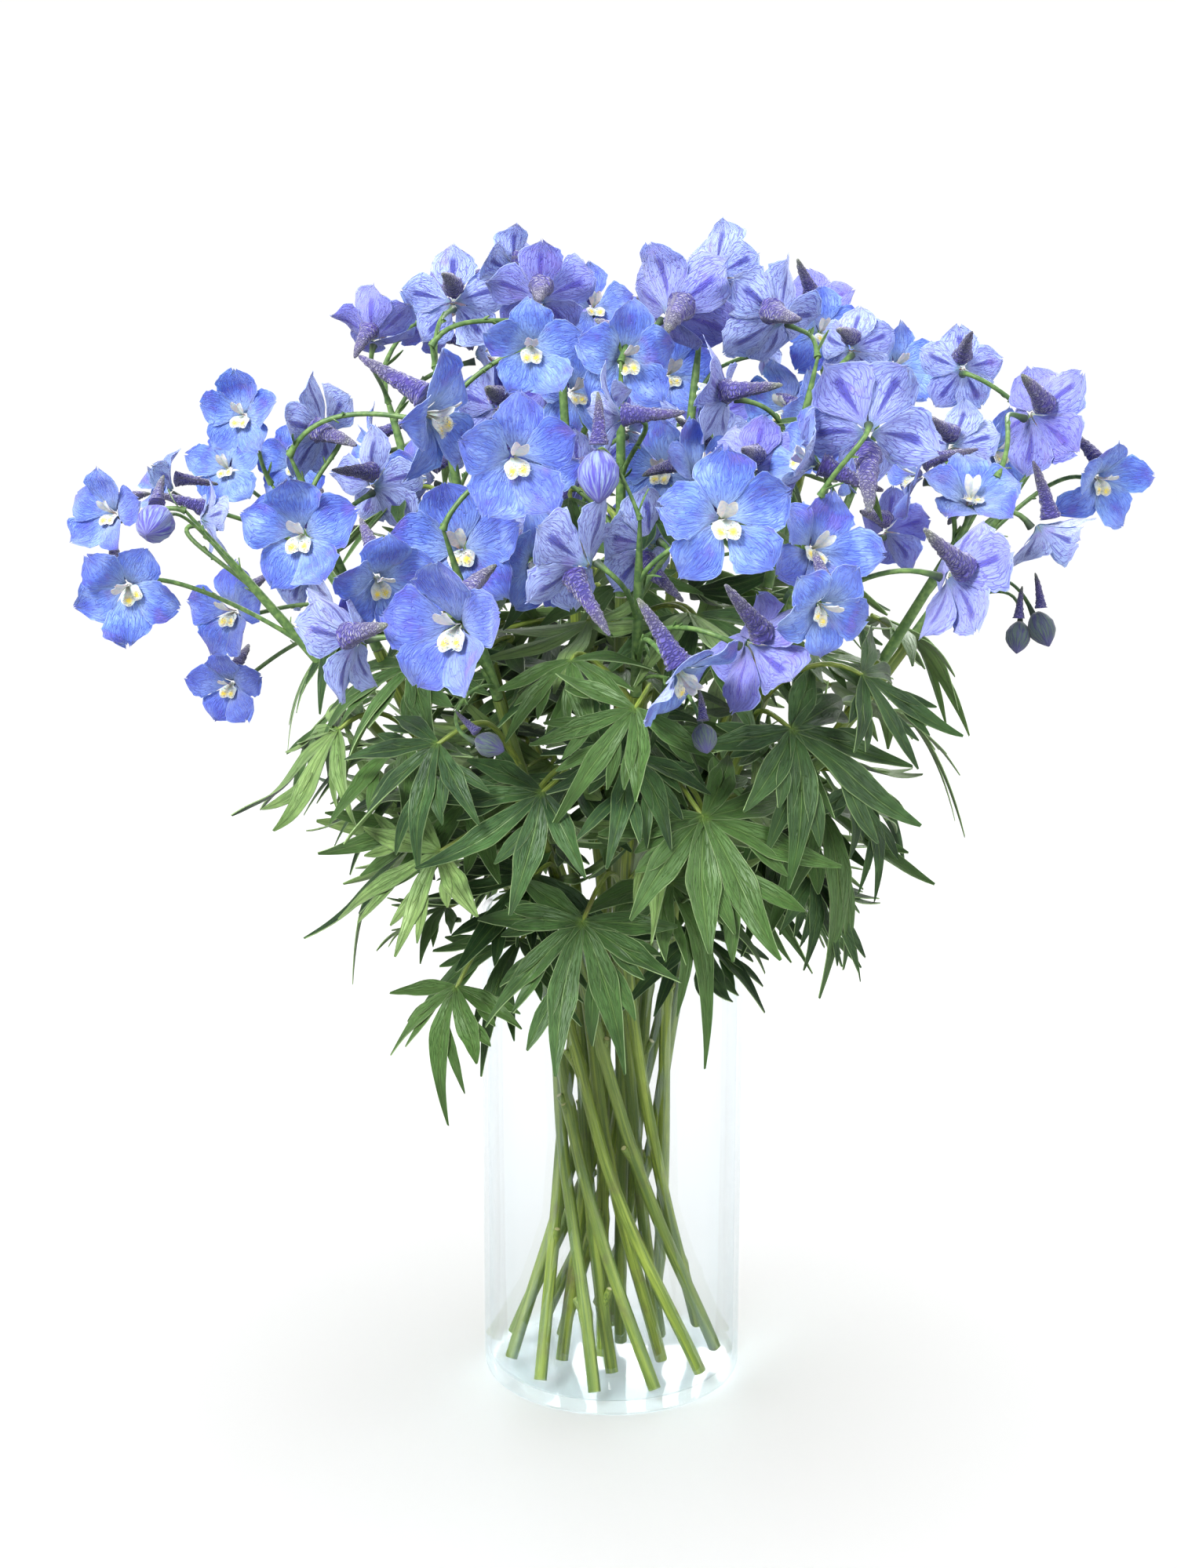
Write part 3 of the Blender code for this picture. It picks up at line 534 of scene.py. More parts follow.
def spreadLeaf(draw, angle, look):
    out, rise = polar(1, angle), Vector((0, 0, 1))
    level = out.cross(rise)
    main = out + rise * draw.uniform(*look["rise"]) + level * jitter(draw, look["swing"])
    normal = rise + out * draw.uniform(*look["face"]) + level * jitter(draw, look["roll"])
    return main, normal


def nearestRod(hub, routes, load):
    # The more leaves a stem bears, the further away it counts
    height = max(hub.z, layoutRule["lowestLeafStalk"])
    away = [
        (atHeight(route, height)[0] - hub).length + held * layoutRule["crowding"]
        for route, held in zip(routes, load)
    ]
    return away.index(min(away))


def leafStalkHeight(hub, route, highest):
    away = (hub - atHeight(route, hub.z)[0]).length
    return min(max(hub.z - away * layoutRule["leafStalkRise"], layoutRule["lowestLeafStalk"]), highest)


def wander(name, attempt):
    # How far the solids moved something at this try: the later the try, the further
    draw = random.Random(f"{name}-{attempt}")
    return [jitter(draw, attempt / layoutRule["tries"]) for _ in range(4)]


def flowerTries(name, row):
    # Middle and axes of each place that the solids may have used
    for attempt in range(layoutRule["tries"]):
        deeper, turn, tilt, roll = wander(name, attempt)
        middle = fromPhoto(row.x, row.y, (row.depth + deeper * layoutRule["depthRange"]) * mm)
        swing = layoutRule["turnRange"]
        yield middle, axes(row.turn + turn * swing, row.tilt + tilt * swing, row.roll + roll * swing)


def leafTries(name, row):
    # Hub, axes and length of each place that the solids may have used
    hub, main, normal, lobes, length, droop = row
    level = main.cross(Vector((0, 0, 1))).normalized()
    swing = layoutRule["leafTurn"]
    for attempt in range(layoutRule["tries"]):
        aside, out, turn, tilt = wander(name, attempt)
        moved = hub + level * aside * layoutRule["asideRange"]
        moved += Vector((hub.x, hub.y, 0)).normalized() * out * layoutRule["outRange"]
        toward = main.normalized() + Vector((0, 0, tilt * swing)) + level * turn * swing
        size = length * (1 - layoutRule["shrink"] * attempt / layoutRule["tries"]) * mm
        side = normal.cross(toward).normalized()
        yield moved, side.cross(normal).normalized(), side, size


def cornerTree(node):
    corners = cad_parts[node].data.vertices
    tree = KDTree(len(corners))
    for corner in corners:
        tree.insert(corner.co, corner.index)
    tree.balance()
    return tree


def triedHere(tree, corners):
    # Whether most of a try's corners are corners of the solid
    met = sum(tree.find(corner)[2] < layoutRule["match"] for corner in corners)
    return met * 2 > len(corners)


def starCorners(middle, along, radius, firstTurn, ahead):
    right, up, forward = along
    spokes = [polar(radius, firstTurn + 72 * place) for place in range(5)]
    return [middle + right * spoke.x + up * spoke.y + forward * ahead for spoke in spokes]


def flowerCorners(middle, along, size, isBud):
    if not isBud:
        return starCorners(middle, along, size / 2, 90, layoutRule["tipAhead"] * size / 2)
    reach, ahead = (share * size for share in layoutRule["budRing"])
    tip = middle + along[2] * layoutRule["budTip"] * size
    return [tip, *starCorners(middle, along, reach, 126, ahead)]


def lobeTips(hub, main, side, normal, lobes, length, droop):
    tips = []
    for turn in lobeTurns[lobes]:
        angle = math.radians(turn)
        reach = length * (1 - layoutRule["shorterByTurn"] * abs(turn))
        along = main * math.cos(angle) + side * math.sin(angle)
        tips.append(hub + along * reach - normal * (droop * (reach / length) ** 2 * length))
    return tips


routes = stemRoutes()
labels = [f"{number + 1:02d}" for number in range(len(routes))]
flowers = [[] for _ in routes]
foliage = [[] for _ in routes]
Flower = namedtuple("Flower", "name middle frame size anchor grows isBud")
LeafPlace = namedtuple("LeafPlace", "name hub main side normal lobes length droop anchor grows")


def findFlowers():
    # Puts each flower where the solids have it, and counts those that they lack
    trees = [cornerTree("spray_" + label) for label in labels]
    rows = [*blooms, *hiddenBlooms(), *buds]
    lost = 0
    for number, (row, owner, height) in enumerate(zip(rows, *attachFlowers(rows, routes))):
        name, size, isBud = f"flower-{number}", row.size * mm, number >= len(rows) - len(buds)
        for middle, along in flowerTries(name, row):
            if triedHere(trees[owner], flowerCorners(middle, along, size, isBud)):
                grown = (size, *atHeight(routes[owner], height), isBud)
                flowers[owner].append(Flower(name, middle, along, *grown))
                break
        else:
            lost += 1
    return lost


def findLeaves():
    trees = [cornerTree("stem_" + label) for label in labels]
    lost = 0
    for number, row in enumerate(leafRows()):
        name = f"leaf-{number}"
        start, _, normal, lobes, _, droop = row
        owner = nearestRod(start, routes, [len(some) for some in foliage])
        route = routes[owner]
        attach = leafStalkHeight(start, route, floweringHeight(route) - layoutRule["belowNeck"])
        for hub, main, side, length in leafTries(name, row):
            if triedHere(trees[owner], lobeTips(hub, main, side, normal, lobes, length, droop)):
                growth = (lobes, length, droop, *atHeight(route, attach))
                foliage[owner].append(LeafPlace(name, hub, main, side, normal.normalized(), *growth))
                break
        else:
            lost += 1
    return lost


def growHeartBlooms():
    for number, row in enumerate(heartBlooms):
        middle = fromPhoto(row.x, row.y, row.depth * mm)
        along = axes(row.turn, row.tilt, row.roll)
        owner = nearestStem(middle, along[2], routes)
        route = routes[owner]
        lowest, limit = floweringHeight(route) + layoutRule["stalkRoom"], route[-1].z - layoutRule["tipRoom"]
        height = min(max(middle.z - layoutRule["stalkDrop"], lowest), limit)
        grown = (row.size * mm, *atHeight(route, height), False)
        flowers[owner].append(Flower(f"heart-{number}", middle, along, *grown))


def growInnerLeaves(look):
    load = [len(some) for some in foliage]
    for number in range(look["count"]):
        name = f"{look['name']}-{number}"
        draw = random.Random(name)
        angle = number * innerSpread["step"] + jitter(draw, innerSpread["angle"])
        height = draw.uniform(*look["heights"])
        hub = polar(draw.uniform(*look["reach"]) * mm, angle, height * mm)
        owner = nearestRod(hub, routes, load)
        load[owner] += 1
        main, normal = spreadLeaf(draw, angle, innerSpread)
        if draw.random() < look["turned"]:
            normal = -normal
        side = normal.cross(main).normalized()
        main = side.cross(normal).normalized()
        attach = leafStalkHeight(hub, routes[owner], routes[owner][-1].z - layoutRule["stalkRoom"])
        length, droop = draw.uniform(*look["length"]) * mm, draw.uniform(*innerSpread["droop"])
        growth = (look["lobes"], length, droop, *atHeight(routes[owner], attach))
        foliage[owner].append(LeafPlace(name, hub, main, side, normal, *growth))


lost = findFlowers() + findLeaves()
growHeartBlooms()
for kind in innerLeaves:
    growInnerLeaves(kind)
print("flowers found", sum(map(len, flowers)), "leaves found", sum(map(len, foliage)), "not found", lost)

# Meshes from grids and tubes
madeTriangles = {}


class Form:
    # The points, faces and named values of one piece, gathered shell by shell
    def __init__(self):
        self.points, self.quads, self.tris, self.looks, self.values = [], [], [], [[], []], []
        self.count = 0

    def add(self, points, quads, tris=None, look=0, along=0.0, across=0.0, side=0.0, tone=0.0):
        total = len(points)
        self.points.append(points)
        self.quads.append(quads + self.count)
        self.looks[0].append(np.full(len(quads), look))
        if tris is not None:
            self.tris.append(tris + self.count)
            self.looks[1].append(np.full(len(tris), look))
        self.values.append(np.stack([np.broadcast_to(v, total) for v in (along, across, side, tone)], 1))
        self.count += total

    def piece(self, name, materials, node, slot="petal_blue", sharp=55):
        points = np.concatenate(self.points).astype(np.float32)
        quads = np.concatenate(self.quads)
        tris = np.concatenate(self.tris) if self.tris else np.zeros((0, 3), int)
        mesh = bpy.data.meshes.new(name)
        mesh.vertices.add(len(points))
        mesh.vertices.foreach_set("co", points.ravel())
        corners = np.concatenate([quads.ravel(), tris.ravel()]).astype(np.int32)
        starts = np.concatenate([np.arange(len(quads)) * 4, len(quads) * 4 + np.arange(len(tris)) * 3])
        mesh.loops.add(len(corners))
        mesh.loops.foreach_set("vertex_index", corners)
        mesh.polygons.add(len(starts))
        mesh.polygons.foreach_set("loop_start", starts.astype(np.int32))
        looks = np.concatenate([*self.looks[0], *self.looks[1]])
        mesh.polygons.foreach_set("material_index", looks.astype(np.int32))
        mesh.update(calc_edges=True)
        values = np.concatenate(self.values)
        for place, label in enumerate(("along", "across", "side", "tone")):
            layer = mesh.attributes.new(label, "FLOAT", "POINT")
            layer.data.foreach_set("value", values[:, place].astype(np.float32))
        mesh.shade_smooth()
        mesh.set_sharp_from_angle(angle=math.radians(sharp))
        for material in materials:
            mesh.materials.append(material)
        thing = newObject(name, mesh)
        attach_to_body(thing, "root")
        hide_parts(node)
        madeTriangles[name] = len(quads) * 2 + len(tris)


def arrow(vector):
    return np.array(vector, float)


def unit(vectors):
    return vectors / np.maximum(np.linalg.norm(vectors, axis=-1, keepdims=True), 1e-12)


def fade(values, low, high):
    # 0 up to low and 1 from high on
    return np.clip((values - low) / (high - low), 0, 1)


def tubeFaces(rings, sides):
    # Faces between rings of points, and the fans of two end points that come after them
    index = np.arange(rings * sides).reshape(rings, sides)
    onward = np.roll(index, -1, 1)
    quads = np.stack([index[:-1], onward[:-1], onward[1:], index[1:]], -1).reshape(-1, 4)
    low, high = rings * sides, rings * sides + 1
    tris = np.concatenate([
        np.stack([np.full(sides, low), onward[0], index[0]], -1),
        np.stack([np.full(sides, high), index[-1], onward[-1]], -1),
    ])
    return quads, tris


def gridShares(rows, columns):
    # 0 to 1 along a grid and -1 to 1 across it
    return np.linspace(0, 1, rows)[:, None], np.linspace(-1, 1, columns)[None, :]


def addShell(form, front, back, along, across, tone, sides=(0.0, 1.0)):
    # Two grids of points, joined round their rim
    rows, columns = front.shape[:2]
    total = rows * columns
    index = np.arange(total).reshape(rows, columns)
    faces = np.stack([index[:-1, :-1], index[1:, :-1], index[1:, 1:], index[:-1, 1:]], -1).reshape(-1, 4)
    rim = np.concatenate([index[0], index[1:, -1], index[-1, -2::-1], index[-2:0:-1, 0]])
    after = np.roll(rim, -1)
    band = np.stack([rim, after, after + total, rim + total], -1)
    points = np.concatenate([front.reshape(-1, 3), back.reshape(-1, 3)])
    quads = np.concatenate([faces, faces[:, ::-1] + total, band])
    along = np.tile(np.broadcast_to(along, (rows, columns)).ravel(), 2)
    across = np.tile(np.broadcast_to(across, (rows, columns)).ravel(), 2)
    form.add(points, quads, None, 0, along, across, np.repeat(sides, total), tone)


def addTube(form, path, radii, sides, aside, look=0, tone=0.0, side=0.0, squeeze=1.0):
    # A closed tube along path. radii is one number a point, or one a point and side
    path = np.array(path, float)
    count = len(path)
    way = unit(np.gradient(path, axis=0))
    turns = np.arange(sides) * 2 * np.pi / sides
    radii = np.array(radii, float)
    if radii.ndim == 1:
        radii = np.repeat(radii[:, None], sides, 1)
    rings = []
    for place in range(count):
        aside = aside - way[place] * (aside @ way[place])
        aside = aside / np.linalg.norm(aside)
        up = np.cross(way[place], aside)
        spokes = np.cos(turns)[:, None] * aside * squeeze + np.sin(turns)[:, None] * up
        rings.append(path[place] + spokes * radii[place][:, None])
    points = np.concatenate([np.concatenate(rings), path[:1], path[-1:]])
    along = np.concatenate([np.repeat(np.linspace(0, 1, count), sides), (0, 1)])
    across = np.concatenate([np.tile(turns / np.pi - 1, count), (0, 0)])
    form.add(points, *tubeFaces(count, sides), look, along, across, side, tone)


def ripple(draw, x, y, size, strength, waves=4):
    # A smooth seeded surface of a few crossing waves
    total = 0
    for _ in range(waves):
        angle, phase, pace = draw.uniform(0, 6.28), draw.uniform(0, 6.28), draw.uniform(0.7, 1.4) / size
        total = total + np.sin((x * math.cos(angle) + y * math.sin(angle)) * pace + phase)
    return total * strength / waves


def shapedCurve(knots, count):
    # A number for each of count steps, straight between (share, value) knots
    return np.interp(np.linspace(0, 1, count), *zip(*knots))


# Finishes. Every piece gives its points four values: along and across it, its side (0 front, 1 back)
# and its tone, which differs from one petal or leaf to the next
petalLook = {
    "surface": {
        "Roughness": 0.62, "Specular IOR Level": 0.25, "Sheen Weight": 0.25, "Sheen Roughness": 0.5,
        "Subsurface Weight": 0.3, "Subsurface Radius": (0.5, 0.7, 1.0), "Subsurface Scale": 0.0012,
    },
    "inner": (0.30, 0.44, 0.73),
    "face": (0.105, 0.195, 0.62),
    "deep": (0.038, 0.055, 0.41),
    "outer": (0.066, 0.082, 0.50),
    "sky": (0.20, 0.35, 0.73),
    "violet": (0.085, 0.058, 0.42),
    "mauve": (0.18, 0.115, 0.46),
    "edge": (0.37, 0.44, 0.71),
    "back": (0.31, 0.39, 0.71),
    "backVein": (0.070, 0.050, 0.38),
    "stripe": (0.024, 0.028, 0.26),
    "base": (0.10, 0.22, 0.27),
    "apart": 37.0,
    "streaks": (19.0, 3.4),
    "veins": (5.5, 3.0),
    "veinNet": 1.6,
    "clouds": 95,
    "relief": (0.0009, 0.8),
    # The cloudy deep and pale patches are partly the petal's own mottling and partly painted shade and
    # painted highlight
    "strength": {
        "sky": 0.45, "outer": 0.34, "mottleAndPaintedShade": 0.80, "lights": 0.55, "streaks": 0.44, "paleStreaks": 0.34,
        "veins": 0.42, "backStreaks": 0.42, "backVeins": 0.68, "stripe": 0.9, "base": 0.8, "mauve": 0.45,
        "edge": 0.45, "violet": 0.26, "violetBehind": 0.38,
    },
}


def petalMaterial():
    look, strength = petalLook, petalLook["strength"]
    mix = Mixer("sepal", look["surface"])
    along, across, side, tone = mix.values("along", "across", "side", "tone")
    half = mix.maths("ABSOLUTE", across)
    streaks = mix.noise(mix.lanes(look["streaks"], look["apart"]), 1.0, 4, 0.6, 0.6)
    cells = mix.lanes(look["veins"], look["apart"])
    bend = mix.noise(cells, 1.2, 2)
    veins = mix.bentNet(cells, look["veinNet"], bend, bend, mix.times(tone, look["apart"]))
    veins = mix.span(veins, 0.09, 0.0)
    clouds = mix.noise(mix.surface(), look["clouds"], 3, 0.55)

    front = mix.over(look["face"], look["sky"], mix.span(tone, 0.40, 0.0), strength["sky"])
    front = mix.blend(mix.span(along, 0.50, 0.06), front, look["inner"])
    front = mix.over(front, look["outer"], mix.span(along, 0.50, 0.97), strength["outer"])
    # Cloudy deep-blue patches, partly the petal's own mottling and partly painted shade
    mottleAndPaintedShade = mix.times(mix.span(clouds, 0.47, 0.66), mix.span(along, 0.2, 0.7))
    front = mix.over(front, look["deep"], mottleAndPaintedShade, strength["mottleAndPaintedShade"])
    # Cloudy pale patches, partly the petal's own mottling and partly painted highlight
    front = mix.over(front, look["inner"], mix.span(clouds, 0.50, 0.30), strength["lights"])
    front = mix.over(front, look["deep"], mix.span(streaks, 0.48, 0.66), strength["streaks"])
    front = mix.over(front, look["inner"], mix.span(streaks, 0.48, 0.30), strength["paleStreaks"])
    front = mix.over(front, look["deep"], veins, strength["veins"])

    back = mix.over(look["back"], look["backVein"], mix.span(streaks, 0.47, 0.66), strength["backStreaks"])
    back = mix.over(back, look["backVein"], veins, strength["backVeins"])
    # A dark stripe down the middle, wider towards the tip
    widening = mix.maths("MULTIPLY_ADD", along, 0.13, 0.05)
    line = mix.span(mix.maths("DIVIDE", half, widening), 1.5, 0.5)
    reach = mix.times(mix.span(along, 0.05, 0.3), mix.span(along, 0.84, 0.70))
    back = mix.over(back, look["stripe"], mix.times(line, reach), strength["stripe"])
    back = mix.over(back, look["base"], mix.span(along, 0.16, 0.0), strength["base"])

    violet = mix.maths("MULTIPLY_ADD", side, strength["violetBehind"], strength["violet"])
    colour = mix.over(mix.blend(side, front, back), look["violet"], mix.span(tone, 0.40, 1.0), violet)
    colour = mix.over(colour, look["mauve"], mix.span(clouds, 0.57, 0.74), strength["mauve"])
    rim = mix.times(mix.span(half, 0.96, 1.0), mix.span(along, 0.2, 0.5))
    edge = mix.maths("MAXIMUM", rim, mix.span(along, 0.985, 1.0))
    colour = mix.over(colour, look["edge"], edge, strength["edge"])
    return mix.finish(colour, mix.maths("ADD", streaks, mix.times(veins, -0.5)), look["relief"])


spurLook = {
    "surface": {"Roughness": 0.75, "Specular IOR Level": 0.2, "Sheen Weight": 0.35},
    "foot": ((0.026, 0.022, 0.140), (0.080, 0.070, 0.29)),  # painted shade in a fold, and between the folds a lighter colour, partly the spur's own and partly a painted highlight on the ridges
    "middle": ((0.040, 0.035, 0.100), (0.120, 0.112, 0.205)),
    "tip": ((0.085, 0.10, 0.075), (0.26, 0.29, 0.21)),
    "blush": (0.075, 0.045, 0.28),
    "blushStrength": 0.4,
    "blushSize": 160,
    "folds": (5.0, 20.0),
    "apart": 29.0,
    "relief": (0.0006, 0.9),
}


def spurMaterial():
    look = spurLook
    mix = Mixer("spur", look["surface"])
    along, tone = mix.values("along", "tone")
    lanes = mix.lanes(look["folds"], look["apart"])
    bend = mix.noise(lanes, 0.7, 3)
    # A net of folds: painted shade along its lines and painted highlight on the ridges between them; the same
    # net is the relief
    folds = mix.span(mix.bentNet(lanes, 1.1, bend, bend, bend), 0.02, 0.34)
    foot, middle, tip = (mix.blend(folds, *look[part]) for part in ("foot", "middle", "tip"))
    body = mix.blend(mix.span(along, 0.30, 0.75), foot, middle)
    body = mix.blend(mix.times(mix.span(along, 0.72, 1.0), mix.span(tone, 0.2, 0.6)), body, tip)
    blush = mix.span(mix.noise(mix.surface(), look["blushSize"], 2), 0.5, 0.7)
    body = mix.over(body, look["blush"], blush, look["blushStrength"])
    return mix.finish(body, folds, look["relief"])


beeLook = {
    "surface": {
        "Roughness": 0.7, "Specular IOR Level": 0.25, "Sheen Weight": 0.6,
        "Subsurface Weight": 0.3, "Subsurface Scale": 0.001,
    },
    "white": ((0.55, 0.57, 0.51), (0.40, 0.46, 0.55)),
    "claw": (0.24, 0.32, 0.22),
    "spot": (0.64, 0.50, 0.05),
    "grain": 900,
    "relief": (0.0004, 0.5),
}


def beeMaterial():
    # The four small petals in the middle of a bloom. Those of tone 1 have a yellow spot
    look = beeLook
    mix = Mixer("bee", look["surface"])
    along, across, tone = mix.values("along", "across", "tone")
    grain = mix.noise(mix.surface(), look["grain"], 3)
    body = mix.blend(mix.span(grain, 0.35, 0.75), *look["white"])
    body = mix.blend(mix.span(along, 0.25, 0.0), body, look["claw"])
    spot = mix.times(
        mix.span(along, 0.25, 0.60), mix.span(along, 0.98, 0.62),
        mix.span(mix.maths("ABSOLUTE", across), 0.80, 0.10), mix.span(tone, 0.4, 0.6),
    )
    return mix.finish(mix.blend(spot, body, look["spot"]), grain, look["relief"])


stalkLook = {
    "surface": {"Roughness": 0.5, "Specular IOR Level": 0.4},
    "green": ((0.050, 0.11, 0.028), (0.115, 0.20, 0.052)),
    "dark": (0.020, 0.028, 0.030),  # painted shade, where a flower sits on it
    "paintedShadeStrength": 0.85,
    "grain": 420,
    "relief": (0.0003, 0.4),
}


def stalkMaterial():
    # tone 0 is a flower stalk, 1 the stem that carries it
    look = stalkLook
    mix = Mixer("flowerStalk", look["surface"])
    along, tone = mix.values("along", "tone")
    grain = mix.noise(mix.surface(), look["grain"], 3)
    green = mix.blend(mix.span(grain, 0.35, 0.7), *look["green"])
    # Painted shade on the flower stalk where it runs in under its flower
    dark = mix.times(mix.span(along, 0.14, 0.0), mix.maths("SUBTRACT", 1.0, tone))
    return mix.finish(mix.over(green, look["dark"], dark, look["paintedShadeStrength"]), grain, look["relief"])


leafLook = {
    "surface": {
        "Roughness": 0.48, "Specular IOR Level": 0.35,
        "Subsurface Weight": 0.12, "Subsurface Radius": (0.4, 1.0, 0.3), "Subsurface Scale": 0.001,
    },
    "top": ((0.011, 0.040, 0.010), (0.042, 0.106, 0.026)),
    "young": (0.082, 0.172, 0.034),
    "topNet": (0.007, 0.026, 0.008),
    "topRib": (0.13, 0.22, 0.060),
    "under": ((0.13, 0.225, 0.065), (0.20, 0.310, 0.095)),
    "underRib": (0.055, 0.110, 0.028),
    "edge": (0.26, 0.36, 0.17),
    "hub": (0.14, 0.25, 0.035),
    "clouds": 60,
    "fibres": (9.0, 3.5),
    "apart": 53.0,
    "net": 2.2,
    "ribs": 2.6,  # side ribs between the middle and the edge
    "ribWander": 0.16,
    "relief": (0.0010, 0.8),
    "strength": {
        "sideRibs": 0.6, "young": 0.65, "topNet": 0.30, "topRib": 0.50, "underRib": 0.65, "edge": 0.60,
        "hub": 0.6,
    },
}


def leafMaterial():
    look, strength = leafLook, leafLook["strength"]
    mix = Mixer("leaf", look["surface"])
    along, across, side, tone = mix.values("along", "across", "side", "tone")
    half = mix.maths("ABSOLUTE", across)
    clouds = mix.span(mix.noise(mix.surface(), look["clouds"], 3), 0.35, 0.68)
    fibre = mix.lanes(look["fibres"], look["apart"])
    net = mix.span(mix.net(fibre, look["net"]), 0.10, 0.0)
    wander = mix.times(mix.noise(fibre, 0.8, 2), look["ribWander"])
    lanes = mix.maths("PINGPONG", mix.maths("ADD", mix.times(half, look["ribs"]), wander), 0.5)
    sideRibs = mix.times(mix.span(lanes, 0.40, 0.49), mix.span(along, 0.95, 0.7))
    rib, sideRibs = mix.span(half, 0.085, 0.03), mix.times(sideRibs, strength["sideRibs"])
    lines = mix.maths("MAXIMUM", rib, sideRibs, clamp=True)

    top = mix.blend(clouds, *look["top"])
    top = mix.over(top, look["young"], mix.span(tone, 0.45, 1.0), strength["young"])
    top = mix.over(top, look["topNet"], net, strength["topNet"])
    top = mix.over(top, look["topRib"], lines, strength["topRib"])
    under = mix.over(mix.blend(clouds, *look["under"]), look["underRib"], lines, strength["underRib"])
    colour = mix.blend(side, top, under)
    colour = mix.over(colour, look["edge"], mix.span(half, 0.93, 1.0), strength["edge"])
    colour = mix.over(colour, look["hub"], mix.span(along, 0.06, 0.0), strength["hub"])
    return mix.finish(colour, mix.maths("SUBTRACT", mix.times(net, -0.5), lines), look["relief"])


stemLook = {
    "surface": {"Roughness": 0.42, "Specular IOR Level": 0.45},
    "green": ((0.078, 0.130, 0.015), (0.235, 0.298, 0.040)),
    "rust": (0.10, 0.072, 0.034),
    "deep": (0.045, 0.085, 0.026),
    "cut": (0.36, 0.34, 0.16),
    "rustStrength": 0.6,
    "deepStrength": 0.4,
    "streaks": (7.0, 9.0),
    "apart": 41.0,
    "blots": 75,
    "relief": (0.0005, 0.5),
}


def stemMaterial():
    # side 1 is a cut end
    look = stemLook
    mix = Mixer("stemGreen", look["surface"])
    along, side, tone = mix.values("along", "side", "tone")
    streaks = mix.noise(mix.lanes(look["streaks"], look["apart"]), 1.0, 4, 0.6, 0.4)
    blots = mix.noise(mix.surface(), look["blots"], 3, 0.6)
    green = mix.blend(mix.span(streaks, 0.36, 0.68), *look["green"])
    rust = mix.times(mix.span(blots, 0.52, 0.72), mix.span(along, 0.55, 0.15))
    green = mix.over(green, look["rust"], rust, look["rustStrength"])
    green = mix.over(green, look["deep"], mix.span(tone, 0.5, 1.0), look["deepStrength"])
    green = mix.blend(side, green, look["cut"])
    return mix.finish(green, mix.maths("ADD", streaks, blots), look["relief"])


budLook = {
    "surface": {"Roughness": 0.65, "Specular IOR Level": 0.25, "Sheen Weight": 0.15},
    "pale": ((0.19, 0.25, 0.41), (0.060, 0.052, 0.31)),
    "dark": ((0.055, 0.085, 0.080), (0.030, 0.026, 0.100)),
    "tip": (0.070, 0.050, 0.26),
    "tipStrength": 0.5,
    "streaks": (16.0, 2.0),
    "apart": 31.0,
    "relief": (0.0010, 0.8),
}


def budMaterial():
    # tone 1 is a bud about to open, 0 a small dark one
    look = budLook
    mix = Mixer("bud", look["surface"])
    along, tone = mix.values("along", "tone")
    streaks = mix.noise(mix.lanes(look["streaks"], look["apart"]), 1.0, 3, 0.6, 0.3)
    pale = mix.blend(mix.span(streaks, 0.36, 0.60), *look["pale"])
    dark = mix.blend(mix.span(streaks, 0.42, 0.66), *look["dark"])
    colour = mix.blend(mix.span(tone, 0.4, 0.6), dark, pale)
    colour = mix.over(colour, look["tip"], mix.span(along, 0.70, 1.0), look["tipStrength"])
    return mix.finish(colour, streaks, look["relief"])


vaseShape = {
    "radius": 55.0,
    "height": 204.0,
    "wall": 2.2,
    "floor": 5.0,
    "edge": 4.0,
    "domed": 1.2,  # how far the underside rises in the middle
    "steps": 128,
}
glassLook = {
    "surface": {"IOR": 1.12, "Transmission Weight": 1.0},
    "tint": (0.50, 0.72, 0.81),
    # rim: the white of the top band, a painted highlight
    "rim": (0.93, 0.96, 0.97),
    "clear": 0.08,  # how much of the glass shows where it is seen straight on
    "edgeOn": 0.65,  # and how much more at its edges
    "steepness": 4.0,
    "ground": ((2.2, 1.2), 0.7),  # mm below the top where the rim turns matt and is painted white as a highlight, and how much it shows
    "roughness": (0.02, 0.5),
    "smear": 22,
    "relief": (0.0004, 0.06),
}


def glassMaterial():
    # Thin clear walls: what lies behind shows straight through, and the glass itself shows most at its edges
    look = glassLook
    mix = Mixer("clearGlass", look["surface"])
    facing = mix.add("ShaderNodeLayerWeight", {"Blend": 0.5}).outputs["Facing"]
    steep = mix.maths("POWER", facing, look["steepness"])
    heights = mix.add("ShaderNodeSeparateXYZ", {0: mix.surface()}).outputs["Z"]
    # The top band of the rim is a painted white highlight, more opaque and rougher than the walls below
    below, rimHighlightShown = look["ground"]
    ground = mix.span(heights, *((vaseShape["height"] - depth) * mm for depth in below))
    glass = mix.maths("MULTIPLY_ADD", steep, look["edgeOn"], look["clear"])
    mix.put(mix.sockets["Alpha"], mix.maths("MULTIPLY_ADD", ground, rimHighlightShown, glass, clamp=True))
    smooth, rough = look["roughness"]
    mix.put(mix.sockets["Roughness"], mix.maths("MULTIPLY_ADD", ground, rough, smooth))
    smear = mix.noise(mix.surface(), look["smear"], 2)
    # The tint of the walls, turning to the painted white highlight at the rim
    return mix.finish(mix.blend(ground, look["tint"], look["rim"]), smear, look["relief"])


sepalFinish, spurFinish, beeFinish = petalMaterial(), spurMaterial(), beeMaterial()
stalkFinish, leafFinish, stemFinish = stalkMaterial(), leafMaterial(), stemMaterial()
budFinish, glassFinish = budMaterial(), glassMaterial()
print("finishes are mixed")


# Vase
def roundCorner(across, height, radius, first, last, steps=6):
    # An arc of a profile, round the middle (across, height)
    turns = np.radians(np.linspace(first, last, steps))
    return [(across + radius * math.cos(turn), height + radius * math.sin(turn)) for turn in turns]


